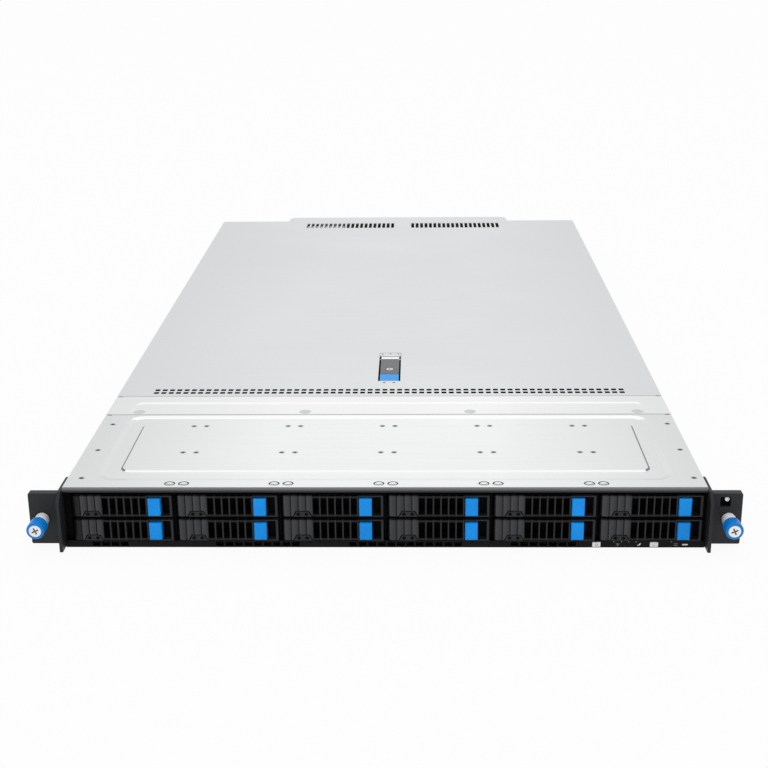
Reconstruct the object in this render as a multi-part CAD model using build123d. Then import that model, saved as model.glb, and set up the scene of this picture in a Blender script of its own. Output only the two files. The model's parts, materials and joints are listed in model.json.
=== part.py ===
from build123d import *
import os
from math import radians, tan

# A 1U rack server, in millimetres.
# X runs across the rack, Y from the front to the rear, Z up.
# The origin is on the underside, at mid-width, in the plane of the rack posts.

# Chassis
BAY_MARGIN = 2.9
HEAD_H = 4.9
SHEET = 1.0
LEDGE_W = 11.0
COVER_GAP = 0.2
SEAM = 0.4
FIT_GAP = 0.3

# Top covers, along the depth
COVER_FRONT = -3.2
REAR_COVER_L = 655.6
TONGUE_L = 22.0
TONGUE_INSET = 82.0
TONGUE_R = 10.0
COVER_LIP_H = 5.0

# Pressed channel round the drive bay cover's panel
CHANNEL_SIDE = 19.5
CHANNEL_FRONT = 12.2
CHANNEL_REAR = 2.4
CHANNEL_R = 13.0
PANEL_SIDE = 15.0
PANEL_FRONT = 17.8
PANEL_REAR = 16.4
PANEL_R = 6.0
CHANNEL_DEPTH = 0.9
CHANNEL_SLOPE_W = 4.5
PANEL_SLOPE_W = 1.4

# Round grooves, weld dimples, coined spots and corner notches in the covers
PAIR_PITCH = 71.3
PAIR_SHIFT = 1.6
PAIR_HALF = 4.75
GROOVE_R = 3.6
GROOVE_W = 0.7
GROOVE_DEPTH = 0.5
GROOVE_FRONT = 6.2
WELD_R = 1.5
WELD_FLOOR_R = 0.6
WELD_DEPTH = 0.7
WELD_ROWS = (63.2, 116.4)
EDGE_WELD_INSET = 8.0
EDGE_WELD_ROWS = (16.1, 67.9, 120.5)
SPOT_R = 4.5
SPOT_FLOOR_R = 4.1
SPOT_DEPTH = 0.25
SPOT_FRONT = 7.8
SPOT_SHARES = (-0.888, -0.294, 0.294, 0.888)
NOTCH_W = 3.4
NOTCH_L = 1.0
NOTCH_INSET = 1.4

# Pressed field of the fan bay cover
FIELD_SIDE = 18.5
FIELD_FRONT = 1.6
FIELD_REAR = 14.2
FIELD_R = 6.0
FIELD_DEPTH = 0.6
FIELD_SLOPE_W = 1.6

# Vents in the rear cover
VENT_COUNT = 64
VENT_SIDE = 28.1
VENT_W = 4.0
VENT_L = 4.2
VENT_ROW_FRONT = 8.4
VENT_ROW_PITCH = 6.8
REAR_VENT_COUNT = 20
REAR_VENT_SIDE = 19.67
REAR_VENT_W = 3.6
REAR_VENT_L = 26.0
REAR_VENT_INSET = 12.5
REAR_VENT_GAP = 24.8
REAR_VENT_SHIFT = 6.3

# Cover latch and its pocket
POCKET_W = 18.6
POCKET_L = 76.0
POCKET_FRONT = 37.4
POCKET_DEPTH = 5.2
LATCH_SIDE_GAP = 1.4
LATCH_GROOVE_W = 0.7
LATCH_GROOVE_DEPTH = 1.0
LATCH_TAB_L = 18.0
LATCH_T = 2.6
LATCH_PIN_R = 1.1
LATCH_PIN_INSET = 13.0
LATCH_PIN_DROP = 1.6
LATCH_KNUCKLE_R = 2.2
COVER_TRAVEL = 14.0
LATCH_TOP_DROP = 0.3
LATCH_SCREW_R = 3.0
LATCH_SCREW_Y = 31.0
RUN_GAP = 0.05

# Rack ears
EAR_W = 23.3
SCREW_IN = 14.55
SCREW_DROP = 0.4
EAR_T = 6.0
EAR_TOP_DROP = 3.4
EAR_Z = 3.0
EAR_ROUND = 1.2
EAR_PLATE_T = 2.3
EAR_PLATE_L = 32.0
EAR_PLATE_REACH = 9.0
EAR_PLATE_Z = 0.5
EAR_PLATE_DROP = 0.8
EAR_PLATE_CHAMFER = 6.5
EAR_WINDOW = 7.0
EAR_WINDOW_IN = 11.8
EAR_WINDOW_RISE = 12.2

# Captive thumbscrews
SCREW_R = 2.5
SCREW_REACH = 11.0
SHANK_R = 3.0
FERRULE_R = 4.8
FERRULE_L = 10.0
KNOB_R = 6.0
KNOB_L = 10.0
KNOB_ROUND = 1.0
SCREW_HEAD_R = 4.2
SCREW_HEAD_L = 4.0
SCREW_HEAD_DROP = 0.6

# Drive bays
COLUMNS = 6
ROWS = 2
BAY_DIVIDER = 1.35
BAY_SHIFT = 1.2
ROW_GAP = 2.3
ROW_Z = 5.3
DRIVE_W = 69.85
DRIVE_L = 100.45
DRIVE_H = 9.5
BAY_SIDE_CLEAR = 0.25
BAY_CLEAR = 0.3
BEZEL_GAP = 2.6
BEZEL_MARGIN = 5.9

# Front frame and cage
FRAME_FACE = -2.0
FRAME_REAR = -1.2
BROW_H = 2.7
BROW_CHAMFER = 2.2
BROW_RECESS = -2.2
STRIP_FACE = -5.5
SHELF_T = 0.8
CAGE_SIDE_T = 1.0
RIB_H = 0.8
RIB_GAP = 0.4
STRIP_SLOT_W = 5.2
STRIP_SLOT_PITCH = 6.5
STRIP_SLOT_Z = 1.0
STRIP_SLOT_H = 3.2
STRIP_GROUP_SHARES = (-0.859, -0.395, 0.068, 0.498)
STRIP_GROUP_COUNTS = (4, 9, 12, 7)

# Front push-buttons
FRONT_BUTTON_W = 5.5
FRONT_BUTTON_H = 3.2
FRONT_BUTTON_Z = 2.4
FRONT_BUTTON_GAP = 0.2
FRONT_BUTTON_STAND = 0.8
FRONT_BUTTON_IN = (73.4, 34.4)
FRONT_BUTTON_TRAVEL = 1.0
FRONT_STEM_H = 2.2
FRONT_COLLAR_T = 1.0
FRONT_COLLAR_W = 8.0

# Drive tray, measured from the left lower corner of its front face
LEVER_R = 4.0
LEVER_T = 3.1
LEVER_GAP = 0.3
LEVER_SOLID_L = 21.5
LATTICE_COUNT = 6
LEVER_END_ROOM = 16.9
LATTICE_BAR = 1.0
LATTICE_RAIL = 1.4
RIB_GROOVE_W = 0.6
RIB_GROOVE_DEPTH = 0.6
RIB_GROOVE_FIRST = 6.4
RIB_GROOVE_PITCH = 5.15
RIB_GROOVE_COUNT = 3
NOSE_DEPTH = 2.6
TAB_T = 0.8
TAB_R = 2.2
TAB_GAP = 0.2
TAB_NECK_X = 2.6
LEVER_PIN_R = 1.2
BUMP_X = 7.9
BUMP_W = 12.8
BUMP_TOP_W = 8.0
BUMP_H = 3.8
BUMP_GAP = 0.6
BACK_Y = 5.4
BACK_T = 2.0
BACK_WINDOW_H = 8.8
BACK_WINDOWS = 3
END_BAR = 0.8
END_POST = 1.6
TRAY_BUTTON_W = 8.6
TRAY_BUTTON_HEAD = 1.8
TRAY_BUTTON_GAP = 0.6
TRAY_BUTTON_STAND = 2.0
TRAY_BUTTON_CHAMFER = 0.7
TRAY_BUTTON_TRAVEL = 3.0
STEM_W = 5.6
STEM_H = 4.4
STEM_L = 2.4
PAN_SIDE = 2.8
PAN_T = 1.2
DRIVE_SETBACK = 10.0

# Backplane
BOARD_T = 1.6
CONNECTOR_L = 9.0
CONNECTOR_W = 43.0
CONNECTOR_H = 5.0
BACKPLANE_SIDE = 4.0
BACKPLANE_Z = 6.0
BACKPLANE_HEAD = 2.6
BACKPLANE_ROOM = 22.45
BACKPLANE_SLOT_H = 5.0
BACKPLANE_SLOT_GAP = 1.6

# Fans
FAN_HEAD = 2.4
FAN_L = 28.0
FAN_SETBACK = 4.0
FAN_ROOM = 10.0
FAN_RIM = 1.1
FAN_HUB_R = 10.0
FAN_HUB_L = 19.0
FAN_TIP_GAP = 0.6
FAN_BLADES = 7
FAN_BLADE_T = 1.2
FAN_BLADE_CHORD = 15.0
FAN_BLADE_PITCH = 48.0
FAN_STRUT_W = 2.4
FAN_STRUT_L = 2.5
FAN_SHAFT_R = 1.5
FAN_FOOT = 0.2

# Motherboard
STANDOFF_H = 5.0
STANDOFF_R = 3.0
BOARD_SIDE = 6.0
BOARD_SETBACK = 33.4
BOARD_PSU_GAP = 18.7
BOARD_TAIL_GAP = 10.0
BOARD_REAR_INSET = 9.0
DIMM_COUNT = 8
DIMM_MARGIN = 6.2
DIMM_L = 133.35
DIMM_HEAD = 2.25
DIMM_T = 1.4
DIMM_SPACE = 2.0
DIMM_SOCKET_H = 5.5
DIMM_SOCKET_L = 142.0
DIMM_DEPTH = 4.0
DIMM_SLOT_GAP = 0.1
CPU_INSET = 2.0
CPU_SETBACK = 186.0
CPU_SOCKET_W = 74.0
CPU_SOCKET_L = 92.0
CPU_SOCKET_H = 6.4
SINK_W = 78.0
SINK_L = 108.0
SINK_BASE_T = 4.0
SINK_HEAD = 2.6
SINK_FIN_T = 0.8
SINK_FINS = 20

# Rear ports and riser
PORT_REACH = 1.5
NET_PORTS = 3
NET_PITCH = 16.5
NET_HEIGHT = 13.6
NET_L = 21.5
NET_SOCKET_W = 11.8
NET_SOCKET_H = 8.4
NET_SOCKET_L = 13.0
NET_SOCKET_Z = 2.4
NET_OFFSET = 16.0
SERIAL_PORTS = 2
SERIAL_W = 14.5
SERIAL_PITCH = 18.0
SERIAL_HEIGHT = 7.2
SERIAL_L = 18.0
SERIAL_SOCKET_W = 12.0
SERIAL_SOCKET_H = 4.8
SERIAL_SOCKET_L = 9.0
SERIAL_OFFSET = 62.0
VIDEO_OFFSET = 44.0
VIDEO_W = 30.8
VIDEO_HEIGHT = 12.5
VIDEO_L = 16.0
VIDEO_SHELL_W = 17.0
VIDEO_SHELL_H = 8.4
VIDEO_SHELL_L = 5.5
VIDEO_SHELL_ANGLE = 10.0
PORT_WINDOW_GAP = 0.5
RISER_OFFSET = 20.0
RISER_L = 98.0
RISER_H = 26.0
RISER_REAR_GAP = 36.0
RISER_SLOT_L = 89.0
RISER_SLOT_W = 11.0
RISER_SLOT_H = 7.6
SLOT_OFFSET = 8.0
SLOT_SIDE = 11.0
SLOT_HEAD = 4.4
SLOT_Z = 22.0
SLOT_COVER_MARGIN = 3.0
SLOT_COVER_T = 0.9
SLOT_VENT_W = 3.0
SLOT_VENT_SIDE = 10.3
SLOT_VENT_COUNT = 18
SLOT_VENT_MARGIN = 3.0

# Power supplies
PSU_W = 73.5
PSU_HEAD = 2.9
PSU_L = 185.0
PSU_SIDE_GAP = 2.0
PSU_FLOOR_GAP = 0.3
PSU_STAND = 1.5
PSU_WINDOW_GAP = 0.4
INLET_W = 27.6
INLET_H = 20.0
INLET_SOCKET_W = 24.0
INLET_SOCKET_H = 16.4
INLET_SOCKET_L = 15.0
INLET_X = 20.0
INLET_Z = 24.0
INLET_PIN_W = 2.0
INLET_PIN_H = 4.0
INLET_PIN_L = 12.0
INLET_PIN_SPREAD = 7.0
INLET_PIN_DROP = 3.0
PSU_FAN_R = 16.0
PSU_FAN_X = -17.0
PSU_FAN_DEPTH = 6.0
PSU_RING_W = 1.4
PSU_RINGS = (6.0, 11.0)
PSU_BAR_W = 1.6
INLET_RIM = 1.2
HANDLE_X = 3.6
HANDLE_W = 4.5
HANDLE_T = 4.0
HANDLE_REACH = 17.0
HANDLE_Z = 6.0
HANDLE_H = 28.0
LEAF_W = 2.2
LEAF_H = 14.0
LEAF_REACH = 9.0
LEAF_Z = 12.0

# Side holes for slide rails
RAIL_HOLE_R = 2.1
RAIL_HOLE_FRONT = 132.0
RAIL_HOLE_SPACING = 490.0

# Places worked out from the sizes above
BAY_W = DRIVE_W + 2 * BAY_SIDE_CLEAR
BAY_PITCH = BAY_W + BAY_DIVIDER
BAYS_W = COLUMNS * BAY_PITCH
BEZEL_W = BAY_PITCH - BEZEL_GAP
BEZEL_H = DRIVE_H + BEZEL_MARGIN
ROW_PITCH = BEZEL_H + ROW_GAP
BAY_TOP = ROW_Z + (ROWS - 1) * ROW_PITCH + BEZEL_H + BAY_CLEAR
CHASSIS_W = BAYS_W + 2 * BAY_MARGIN
CHASSIS_H = BAY_TOP + HEAD_H
HALF_W = CHASSIS_W / 2
INNER_X = HALF_W - SHEET
MID_Z = CHASSIS_H / 2
COVER_Z = CHASSIS_H - SHEET
WALL_TOP = COVER_Z - COVER_GAP

TRAY_FRONT = -EAR_T
DRIVE_X = (BEZEL_W - DRIVE_W) / 2
DRIVE_REAR = TRAY_FRONT + DRIVE_SETBACK + DRIVE_L
PAN_W = BEZEL_W - 2 * PAN_SIDE
LEVER_L = BEZEL_W - LEVER_END_ROOM
LATTICE_PITCH = (LEVER_L - LEVER_SOLID_L) / LATTICE_COUNT
LEVER_BACK_X = 2 * (LEVER_R + BAY_CLEAR)
TRAY_BUTTON_X = LEVER_L + TRAY_BUTTON_GAP
BROW_Z = CHASSIS_H - BROW_H
STRIP_TOP = ROW_Z - BAY_CLEAR
RIB_FRONT = TRAY_FRONT + BACK_Y + BACK_T + BAY_CLEAR
FRONT_BUTTON_X = tuple(HALF_W - inset for inset in FRONT_BUTTON_IN)
SCREW_X = HALF_W + SCREW_IN
SCREW_Z = MID_Z - SCREW_DROP
KNOB_TIP = -EAR_T - FERRULE_L - KNOB_L

BACKPLANE_Y = DRIVE_REAR + BAY_CLEAR + CONNECTOR_L
BACKPLANE_W = CHASSIS_W - 2 * BACKPLANE_SIDE
BACKPLANE_H = CHASSIS_H - BACKPLANE_HEAD - BACKPLANE_Z
CAGE_REAR = BACKPLANE_Y - FIT_GAP
DRIVE_COVER_REAR = BACKPLANE_Y + BOARD_T + BACKPLANE_ROOM
DRIVE_COVER_L = DRIVE_COVER_REAR - COVER_FRONT
FAN_COVER_FRONT = DRIVE_COVER_REAR + SEAM
FAN_FRONT = FAN_COVER_FRONT + FAN_SETBACK
FAN_REAR = FAN_FRONT + FAN_L
FAN_COVER_REAR = FAN_REAR + FAN_ROOM
FAN_COVER_L = FAN_COVER_REAR - FAN_COVER_FRONT
FAN_SIZE = CHASSIS_H - FAN_HEAD - SHEET - FAN_FOOT
FAN_BORE_R = FAN_SIZE / 2 - FAN_RIM
FAN_Z = SHEET + FAN_FOOT + FAN_SIZE / 2
FAN_X = tuple((index - (COLUMNS - 1) / 2) * BAY_PITCH for index in range(COLUMNS))
REAR_COVER_FRONT = FAN_COVER_REAR + SEAM
CHASSIS_REAR = REAR_COVER_FRONT + REAR_COVER_L
REAR_WALL = CHASSIS_REAR - SHEET

CHANNEL_W = CHASSIS_W - 2 * CHANNEL_SIDE
CHANNEL_L = DRIVE_COVER_L - CHANNEL_FRONT - CHANNEL_REAR
PANEL_W = CHANNEL_W - 2 * PANEL_SIDE
PANEL_L = CHANNEL_L - PANEL_FRONT - PANEL_REAR
FIELD_W = CHASSIS_W - 2 * FIELD_SIDE
FIELD_L = FAN_COVER_L - FIELD_FRONT - FIELD_REAR
VENT_PITCH = (CHASSIS_W - 2 * VENT_SIDE - VENT_W) / (VENT_COUNT - 1)
TONGUE_W = CHASSIS_W - 2 * TONGUE_INSET
REAR_VENT_PITCH = (TONGUE_W - 2 * REAR_VENT_SIDE - REAR_VENT_GAP) / (2 * REAR_VENT_COUNT - 2)
LATCH_PIN_Y = REAR_COVER_FRONT + POCKET_FRONT + POCKET_L - LATCH_PIN_INSET
LATCH_TOP = CHASSIS_H - LATCH_TOP_DROP
LATCH_PIN_Z = COVER_Z - LATCH_PIN_DROP

PSU_REAR = CHASSIS_REAR + PSU_STAND
PSU_Z = SHEET + PSU_FLOOR_GAP
PSU_H = CHASSIS_H - PSU_HEAD - PSU_Z
PSU_X = tuple(
    PSU_SIDE_GAP - INNER_X + PSU_W / 2 + index * (PSU_W + PSU_SIDE_GAP) for index in range(2)
)
BOARD_W = CHASSIS_W - 2 * BOARD_SIDE
BOARD_FRONT = REAR_COVER_FRONT + BOARD_SETBACK
BOARD_REAR = PSU_REAR - PSU_L - BOARD_PSU_GAP
BOARD_REAR_X = PSU_X[-1] + PSU_W / 2 + BOARD_TAIL_GAP
BOARD_Z = SHEET + STANDOFF_H
BOARD_TOP = BOARD_Z + BOARD_T
CPU_X = BOARD_W / 4 - CPU_INSET
CPU_Y = BOARD_FRONT + CPU_SETBACK
SINK_Z = BOARD_TOP + CPU_SOCKET_H
SINK_TOP = COVER_Z - SINK_HEAD
DIMM_PITCH = (BOARD_W / 4 - SINK_W / 2 - DIMM_MARGIN) / DIMM_COUNT
DIMM_OFFSET = SINK_W / 2 + DIMM_PITCH
DIMM_SOCKET_T = DIMM_PITCH - DIMM_SPACE
DIMM_Z = BOARD_TOP + DIMM_SOCKET_H - DIMM_DEPTH
PORT_FACE = CHASSIS_REAR + PORT_REACH
NET_X = BOARD_REAR_X + NET_OFFSET
SERIAL_X = NET_X + SERIAL_OFFSET
VIDEO_X = SERIAL_X + VIDEO_OFFSET
RISER_X = VIDEO_X + RISER_OFFSET
SLOT_X = RISER_X + SLOT_OFFSET
SLOT_W = INNER_X - SLOT_SIDE - SLOT_X
SLOT_H = WALL_TOP - SLOT_HEAD - SLOT_Z
SLOT_VENT_PITCH = (SLOT_W - 2 * SLOT_VENT_SIDE - SLOT_VENT_W) / (SLOT_VENT_COUNT - 1)


def block(x, y, z):
    """A box between two limits on each axis."""
    size = [high - low for low, high in (x, y, z)]
    middle = [(high + low) / 2 for low, high in (x, y, z)]
    return Pos(*middle) * Box(*size)


def span(start, length):
    """The two limits of a length that begins at start."""
    return (start, start + length)


def around(middle, width):
    """The two limits of a width about its middle."""
    return (middle - width / 2, middle + width / 2)


def rod(radius, ends):
    """A round bar along Z, between two ends."""
    return Pos(0, 0, (ends[0] + ends[1]) / 2) * Cylinder(radius, ends[1] - ends[0])


def rod_y(x, z, radius, y):
    """A round bar along Y."""
    return Pos(x, 0, z) * Rot(-90, 0, 0) * rod(radius, y)


def rod_x(y, z, radius, x):
    """A round bar along X."""
    return Pos(0, y, z) * Rot(0, 90, 0) * rod(radius, x)


def rod_z(x, y, radius, z):
    """A round bar along Z."""
    return Pos(x, y) * rod(radius, z)


def profile_x(points, x):
    """A Y-Z outline drawn out along X."""
    return extrude(Plane.YZ.offset(x[0]) * Polygon(*points, align=None), x[1] - x[0], dir=(1, 0, 0))


def profile_y(points, y):
    """An X-Z outline drawn out along Y."""
    return extrude(Plane.XZ.offset(-y[0]) * Polygon(*points, align=None), y[1] - y[0], dir=(0, 1, 0))


def save(name, *pieces):
    """Write one node, with each piece as a solid of its own."""
    solids = [solid for piece in pieces for solid in piece.solids()]
    export_step(solids[0] if len(solids) == 1 else Compound(solids), f"parts/{name}.step")


def pressed_frustum(width, length, radius, slope_w, depth, y_middle):
    """The room inside a pressed recess, open at the cover's outer face."""
    top = Pos(0, y_middle, CHASSIS_H) * RectangleRounded(width, length, radius)
    bottom = Pos(0, y_middle, CHASSIS_H - depth) * RectangleRounded(
        width - 2 * slope_w, length - 2 * slope_w, radius - slope_w
    )
    return loft([top.face(), bottom.face()])


# Chassis tub

def side_wall(side):
    """Side sheet on the floor, with the holes that take a slide rail."""
    wall = block(sorted((side * INNER_X, side * HALF_W)), (FRAME_REAR, CHASSIS_REAR), (SHEET, WALL_TOP))
    for y in span(RAIL_HOLE_FRONT, RAIL_HOLE_SPACING):
        wall -= rod_x(y, MID_Z, RAIL_HOLE_R, (-CHASSIS_W, CHASSIS_W))
    return wall


def chassis_tub():
    """Floor, side walls, rear panel, the ledges under the fixed covers, and board standoffs."""
    floor = block((-HALF_W, HALF_W), (FRAME_REAR, CHASSIS_REAR), (0, SHEET))
    panel = block((-INNER_X, INNER_X), (REAR_WALL, CHASSIS_REAR), (SHEET, WALL_TOP))
    for window in rear_windows():
        panel -= window
    pieces = [floor, panel]
    for side in (-1, 1):
        ledge = sorted((side * (INNER_X - LEDGE_W), side * INNER_X))
        pieces.append(side_wall(side))
        pieces.append(block(ledge, (FRAME_REAR, FAN_COVER_REAR), (WALL_TOP - SHEET, WALL_TOP)))
    for x, y in standoff_places():
        pieces.append(extrude(Pos(x, y, SHEET) * RegularPolygon(STANDOFF_R, 6), STANDOFF_H))
    return pieces


def standoff_places():
    """Where the motherboard is carried."""
    edge = BOARD_W / 2 - 2 * STANDOFF_R
    front = BOARD_FRONT + 2 * STANDOFF_R
    rear = BOARD_REAR - 2 * STANDOFF_R
    tail = CHASSIS_REAR - BOARD_REAR_INSET - 6 * STANDOFF_R
    wide = [(side * edge, y) for side in (-1, 0, 1) for y in (front, rear)]
    return wide + [(edge, tail), (BOARD_REAR_X + 2 * STANDOFF_R, tail)]


def rear_windows():
    """Openings in the rear wall for the power supplies, the ports and the expansion slot."""
    through = (REAR_WALL - SHEET, CHASSIS_REAR + SHEET)
    supplies = (PSU_X[0] - PSU_W / 2 - PSU_WINDOW_GAP, PSU_X[-1] + PSU_W / 2 + PSU_WINDOW_GAP)
    windows = [block(supplies, through, (SHEET, PSU_Z + PSU_H + PSU_WINDOW_GAP))]
    for x, width, height in port_fronts():
        opening = around(x, width + 2 * PORT_WINDOW_GAP)
        top = BOARD_TOP + height + PORT_WINDOW_GAP
        windows.append(block(opening, through, (BOARD_TOP - PORT_WINDOW_GAP, top)))
    windows.append(block(span(SLOT_X, SLOT_W), through, span(SLOT_Z, SLOT_H)))
    return windows


def port_fronts():
    """Middle, width and height of each port block at the rear wall."""
    net = (NET_X + (NET_PORTS - 1) * NET_PITCH / 2, NET_PORTS * NET_PITCH, NET_HEIGHT)
    serial_middle = SERIAL_X + (SERIAL_PORTS - 1) * SERIAL_PITCH / 2
    serial_width = (SERIAL_PORTS - 1) * SERIAL_PITCH + SERIAL_W
    return (
        net,
        (serial_middle, serial_width, SERIAL_HEIGHT),
        (VIDEO_X, VIDEO_W, VIDEO_HEIGHT),
    )


def slot_cover():
    """Vented plate that closes the expansion slot, held against the inside of the rear wall."""
    width = SLOT_W + 2 * SLOT_COVER_MARGIN
    height = SLOT_H + 2 * SLOT_COVER_MARGIN
    x = SLOT_X + SLOT_W / 2
    z = SLOT_Z + SLOT_H / 2
    outline = Rectangle(width, height)
    vents = GridLocations(SLOT_VENT_PITCH, 1, SLOT_VENT_COUNT, 1)
    outline -= vents * Rectangle(SLOT_VENT_W, SLOT_H - 2 * SLOT_VENT_MARGIN)
    return extrude(Plane.XZ.offset(-REAR_WALL) * Pos(x, z) * outline, SLOT_COVER_T)


# Top covers

def cover_lips(front, rear):
    """Edges folded down inside the tub's walls."""
    lips = Part()
    inner = INNER_X - FIT_GAP - SHEET
    for side in (-1, 1):
        lip = sorted((side * inner, side * (inner + SHEET)))
        lips += block(lip, (front, rear), (COVER_Z - COVER_LIP_H, COVER_Z))
    return lips


def drive_bay_cover():
    """Fixed front cover with a pressed channel round its middle panel."""
    cover = block((-HALF_W, HALF_W), (COVER_FRONT, DRIVE_COVER_REAR), (COVER_Z, CHASSIS_H))
    channel = pressed_ring()
    cover += Pos(0, 0, -SHEET) * channel
    cover -= channel
    for x in pair_places():
        cover -= round_groove(x, COVER_FRONT + GROOVE_FRONT)
        for row in WELD_ROWS:
            cover -= dish(x, COVER_FRONT + row, WELD_R, WELD_FLOOR_R, WELD_DEPTH)
    for row in EDGE_WELD_ROWS:
        for side in (-1, 1):
            x = PAIR_SHIFT + side * (HALF_W - EDGE_WELD_INSET)
            cover -= dish(x, COVER_FRONT + row, WELD_R, WELD_FLOOR_R, WELD_DEPTH)
    return cover - corner_notches(DRIVE_COVER_REAR)


def pair_places():
    """X of each groove and weld, in pairs about the dividers under the cover."""
    middles = [PAIR_SHIFT + (edge - COLUMNS / 2) * PAIR_PITCH for edge in range(1, COLUMNS)]
    return [middle + side * PAIR_HALF for middle in middles for side in (-1, 1)]


def round_groove(x, y):
    """A ring pressed into the cover's outer face."""
    ring = Cylinder(GROOVE_R, GROOVE_DEPTH) - Cylinder(GROOVE_R - GROOVE_W, GROOVE_DEPTH)
    return Pos(x, y, CHASSIS_H - GROOVE_DEPTH / 2) * ring


def corner_notches(rear):
    """Small notches in a cover's rear edge, near its corners."""
    notches = Part()
    for side in (-1, 1):
        outer = HALF_W - NOTCH_INSET
        x = sorted((side * (outer - NOTCH_W), side * outer))
        notches += block(x, (rear - NOTCH_L, rear), (COVER_Z, CHASSIS_H))
    return notches


def dish(x, y, radius, floor_radius, depth):
    """A shallow round dimple in a cover's outer face."""
    return Pos(x, y, CHASSIS_H - depth / 2) * Cone(floor_radius, radius, depth)


def pressed_ring():
    """The room inside the channel between the soft outer slope and the panel's edge."""
    front = COVER_FRONT + CHANNEL_FRONT
    channel_middle = front + CHANNEL_L / 2
    outer = pressed_frustum(CHANNEL_W, CHANNEL_L, CHANNEL_R, CHANNEL_SLOPE_W, CHANNEL_DEPTH, channel_middle)
    y_middle = front + PANEL_FRONT + PANEL_L / 2
    panel_low_w = PANEL_W + 2 * PANEL_SLOPE_W
    panel_low_l = PANEL_L + 2 * PANEL_SLOPE_W
    panel_top = Pos(0, y_middle, CHASSIS_H) * RectangleRounded(PANEL_W, PANEL_L, PANEL_R)
    panel_low = Pos(0, y_middle, CHASSIS_H - CHANNEL_DEPTH) * RectangleRounded(
        panel_low_w, panel_low_l, PANEL_R + PANEL_SLOPE_W
    )
    return outer - loft([panel_top.face(), panel_low.face()])


def fan_bay_cover():
    """Narrow cover over the fans, with a shallow pressed field."""
    cover = block((-HALF_W, HALF_W), (FAN_COVER_FRONT, FAN_COVER_REAR), (COVER_Z, CHASSIS_H))
    y_middle = FAN_COVER_FRONT + FIELD_FRONT + FIELD_L / 2
    field = pressed_frustum(FIELD_W, FIELD_L, FIELD_R, FIELD_SLOPE_W, FIELD_DEPTH, y_middle)
    cover += Pos(0, 0, -SHEET) * field
    cover -= field
    for share in SPOT_SHARES:
        y = FAN_COVER_FRONT + SPOT_FRONT
        spot = dish(share * HALF_W, y, SPOT_R, SPOT_FLOOR_R, SPOT_DEPTH)
        cover -= Pos(0, 0, -FIELD_DEPTH) * spot
    return cover - corner_notches(FAN_COVER_REAR)


def rear_cover():
    """Sliding cover with its vents, its rear tongue and the latch pocket."""
    middle = (REAR_COVER_FRONT + CHASSIS_REAR) / 2
    outline = Pos(0, middle) * Rectangle(CHASSIS_W, REAR_COVER_L)
    tongue_l = 2 * (TONGUE_L + TONGUE_R)
    tongue = RectangleRounded(TONGUE_W, tongue_l, TONGUE_R)
    outline += Pos(0, CHASSIS_REAR + TONGUE_L - tongue_l / 2) * tongue
    front_vents = Pos(0, REAR_COVER_FRONT + VENT_ROW_FRONT + VENT_ROW_PITCH / 2)
    grid = GridLocations(VENT_PITCH, VENT_ROW_PITCH, VENT_COUNT, 2)
    outline -= front_vents * grid * Rectangle(VENT_W, VENT_L)
    group = (REAR_VENT_COUNT - 1) * REAR_VENT_PITCH
    for side in (-1, 1):
        x = REAR_VENT_SHIFT + side * (REAR_VENT_GAP + group) / 2
        vents = Pos(x, CHASSIS_REAR - REAR_VENT_INSET - REAR_VENT_L / 2)
        slots = GridLocations(REAR_VENT_PITCH, 1, REAR_VENT_COUNT, 1)
        outline -= vents * slots * Rectangle(REAR_VENT_W, REAR_VENT_L)
    pocket_middle = REAR_COVER_FRONT + POCKET_FRONT + POCKET_L / 2
    outline -= Pos(0, pocket_middle) * Rectangle(POCKET_W, POCKET_L)
    cover = extrude(Pos(0, 0, COVER_Z) * outline, SHEET)
    cover += latch_pocket(pocket_middle)
    return cover + cover_lips(REAR_COVER_FRONT + VENT_L, REAR_WALL - COVER_TRAVEL - FIT_GAP)


def latch_pocket(y_middle):
    """Box under the rear cover that the latch lies in, with holes for its pin."""
    floor = COVER_Z - POCKET_DEPTH
    outside = Pos(0, y_middle, floor) * Rectangle(POCKET_W + 2 * SHEET, POCKET_L + 2 * SHEET)
    room = Pos(0, y_middle, floor + SHEET) * Rectangle(POCKET_W, POCKET_L)
    pocket = extrude(outside, POCKET_DEPTH) - extrude(room, POCKET_DEPTH)
    return pocket - rod_x(LATCH_PIN_Y, LATCH_PIN_Z, LATCH_PIN_R + RUN_GAP, (-POCKET_W, POCKET_W))


def cover_latch():
    """Lever plate on its pin, with a screw lock and the blue tab at its free end."""
    width = around(0, POCKET_W - 2 * LATCH_SIDE_GAP)
    front = REAR_COVER_FRONT + POCKET_FRONT + FIT_GAP
    thickness = (LATCH_TOP - LATCH_T, LATCH_TOP)
    plate = block(width, (front + LATCH_TAB_L, LATCH_PIN_Y), thickness)
    plate += rod_x(LATCH_PIN_Y, LATCH_PIN_Z, LATCH_KNUCKLE_R, width)
    plate += rod_x(LATCH_PIN_Y, LATCH_PIN_Z, LATCH_PIN_R, around(0, POCKET_W + SHEET))
    plate -= rod_z(0, front + LATCH_SCREW_Y, LATCH_SCREW_R, thickness)
    groove = (LATCH_TOP - LATCH_GROOVE_DEPTH, LATCH_TOP)
    plate -= block(width, span(front + LATCH_TAB_L, LATCH_GROOVE_W), groove)
    lock = rod_z(0, front + LATCH_SCREW_Y, LATCH_SCREW_R - RUN_GAP, thickness)
    tab = block(width, span(front, LATCH_TAB_L), thickness)
    return plate, lock, tab


# Rack ears and thumbscrews

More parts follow.
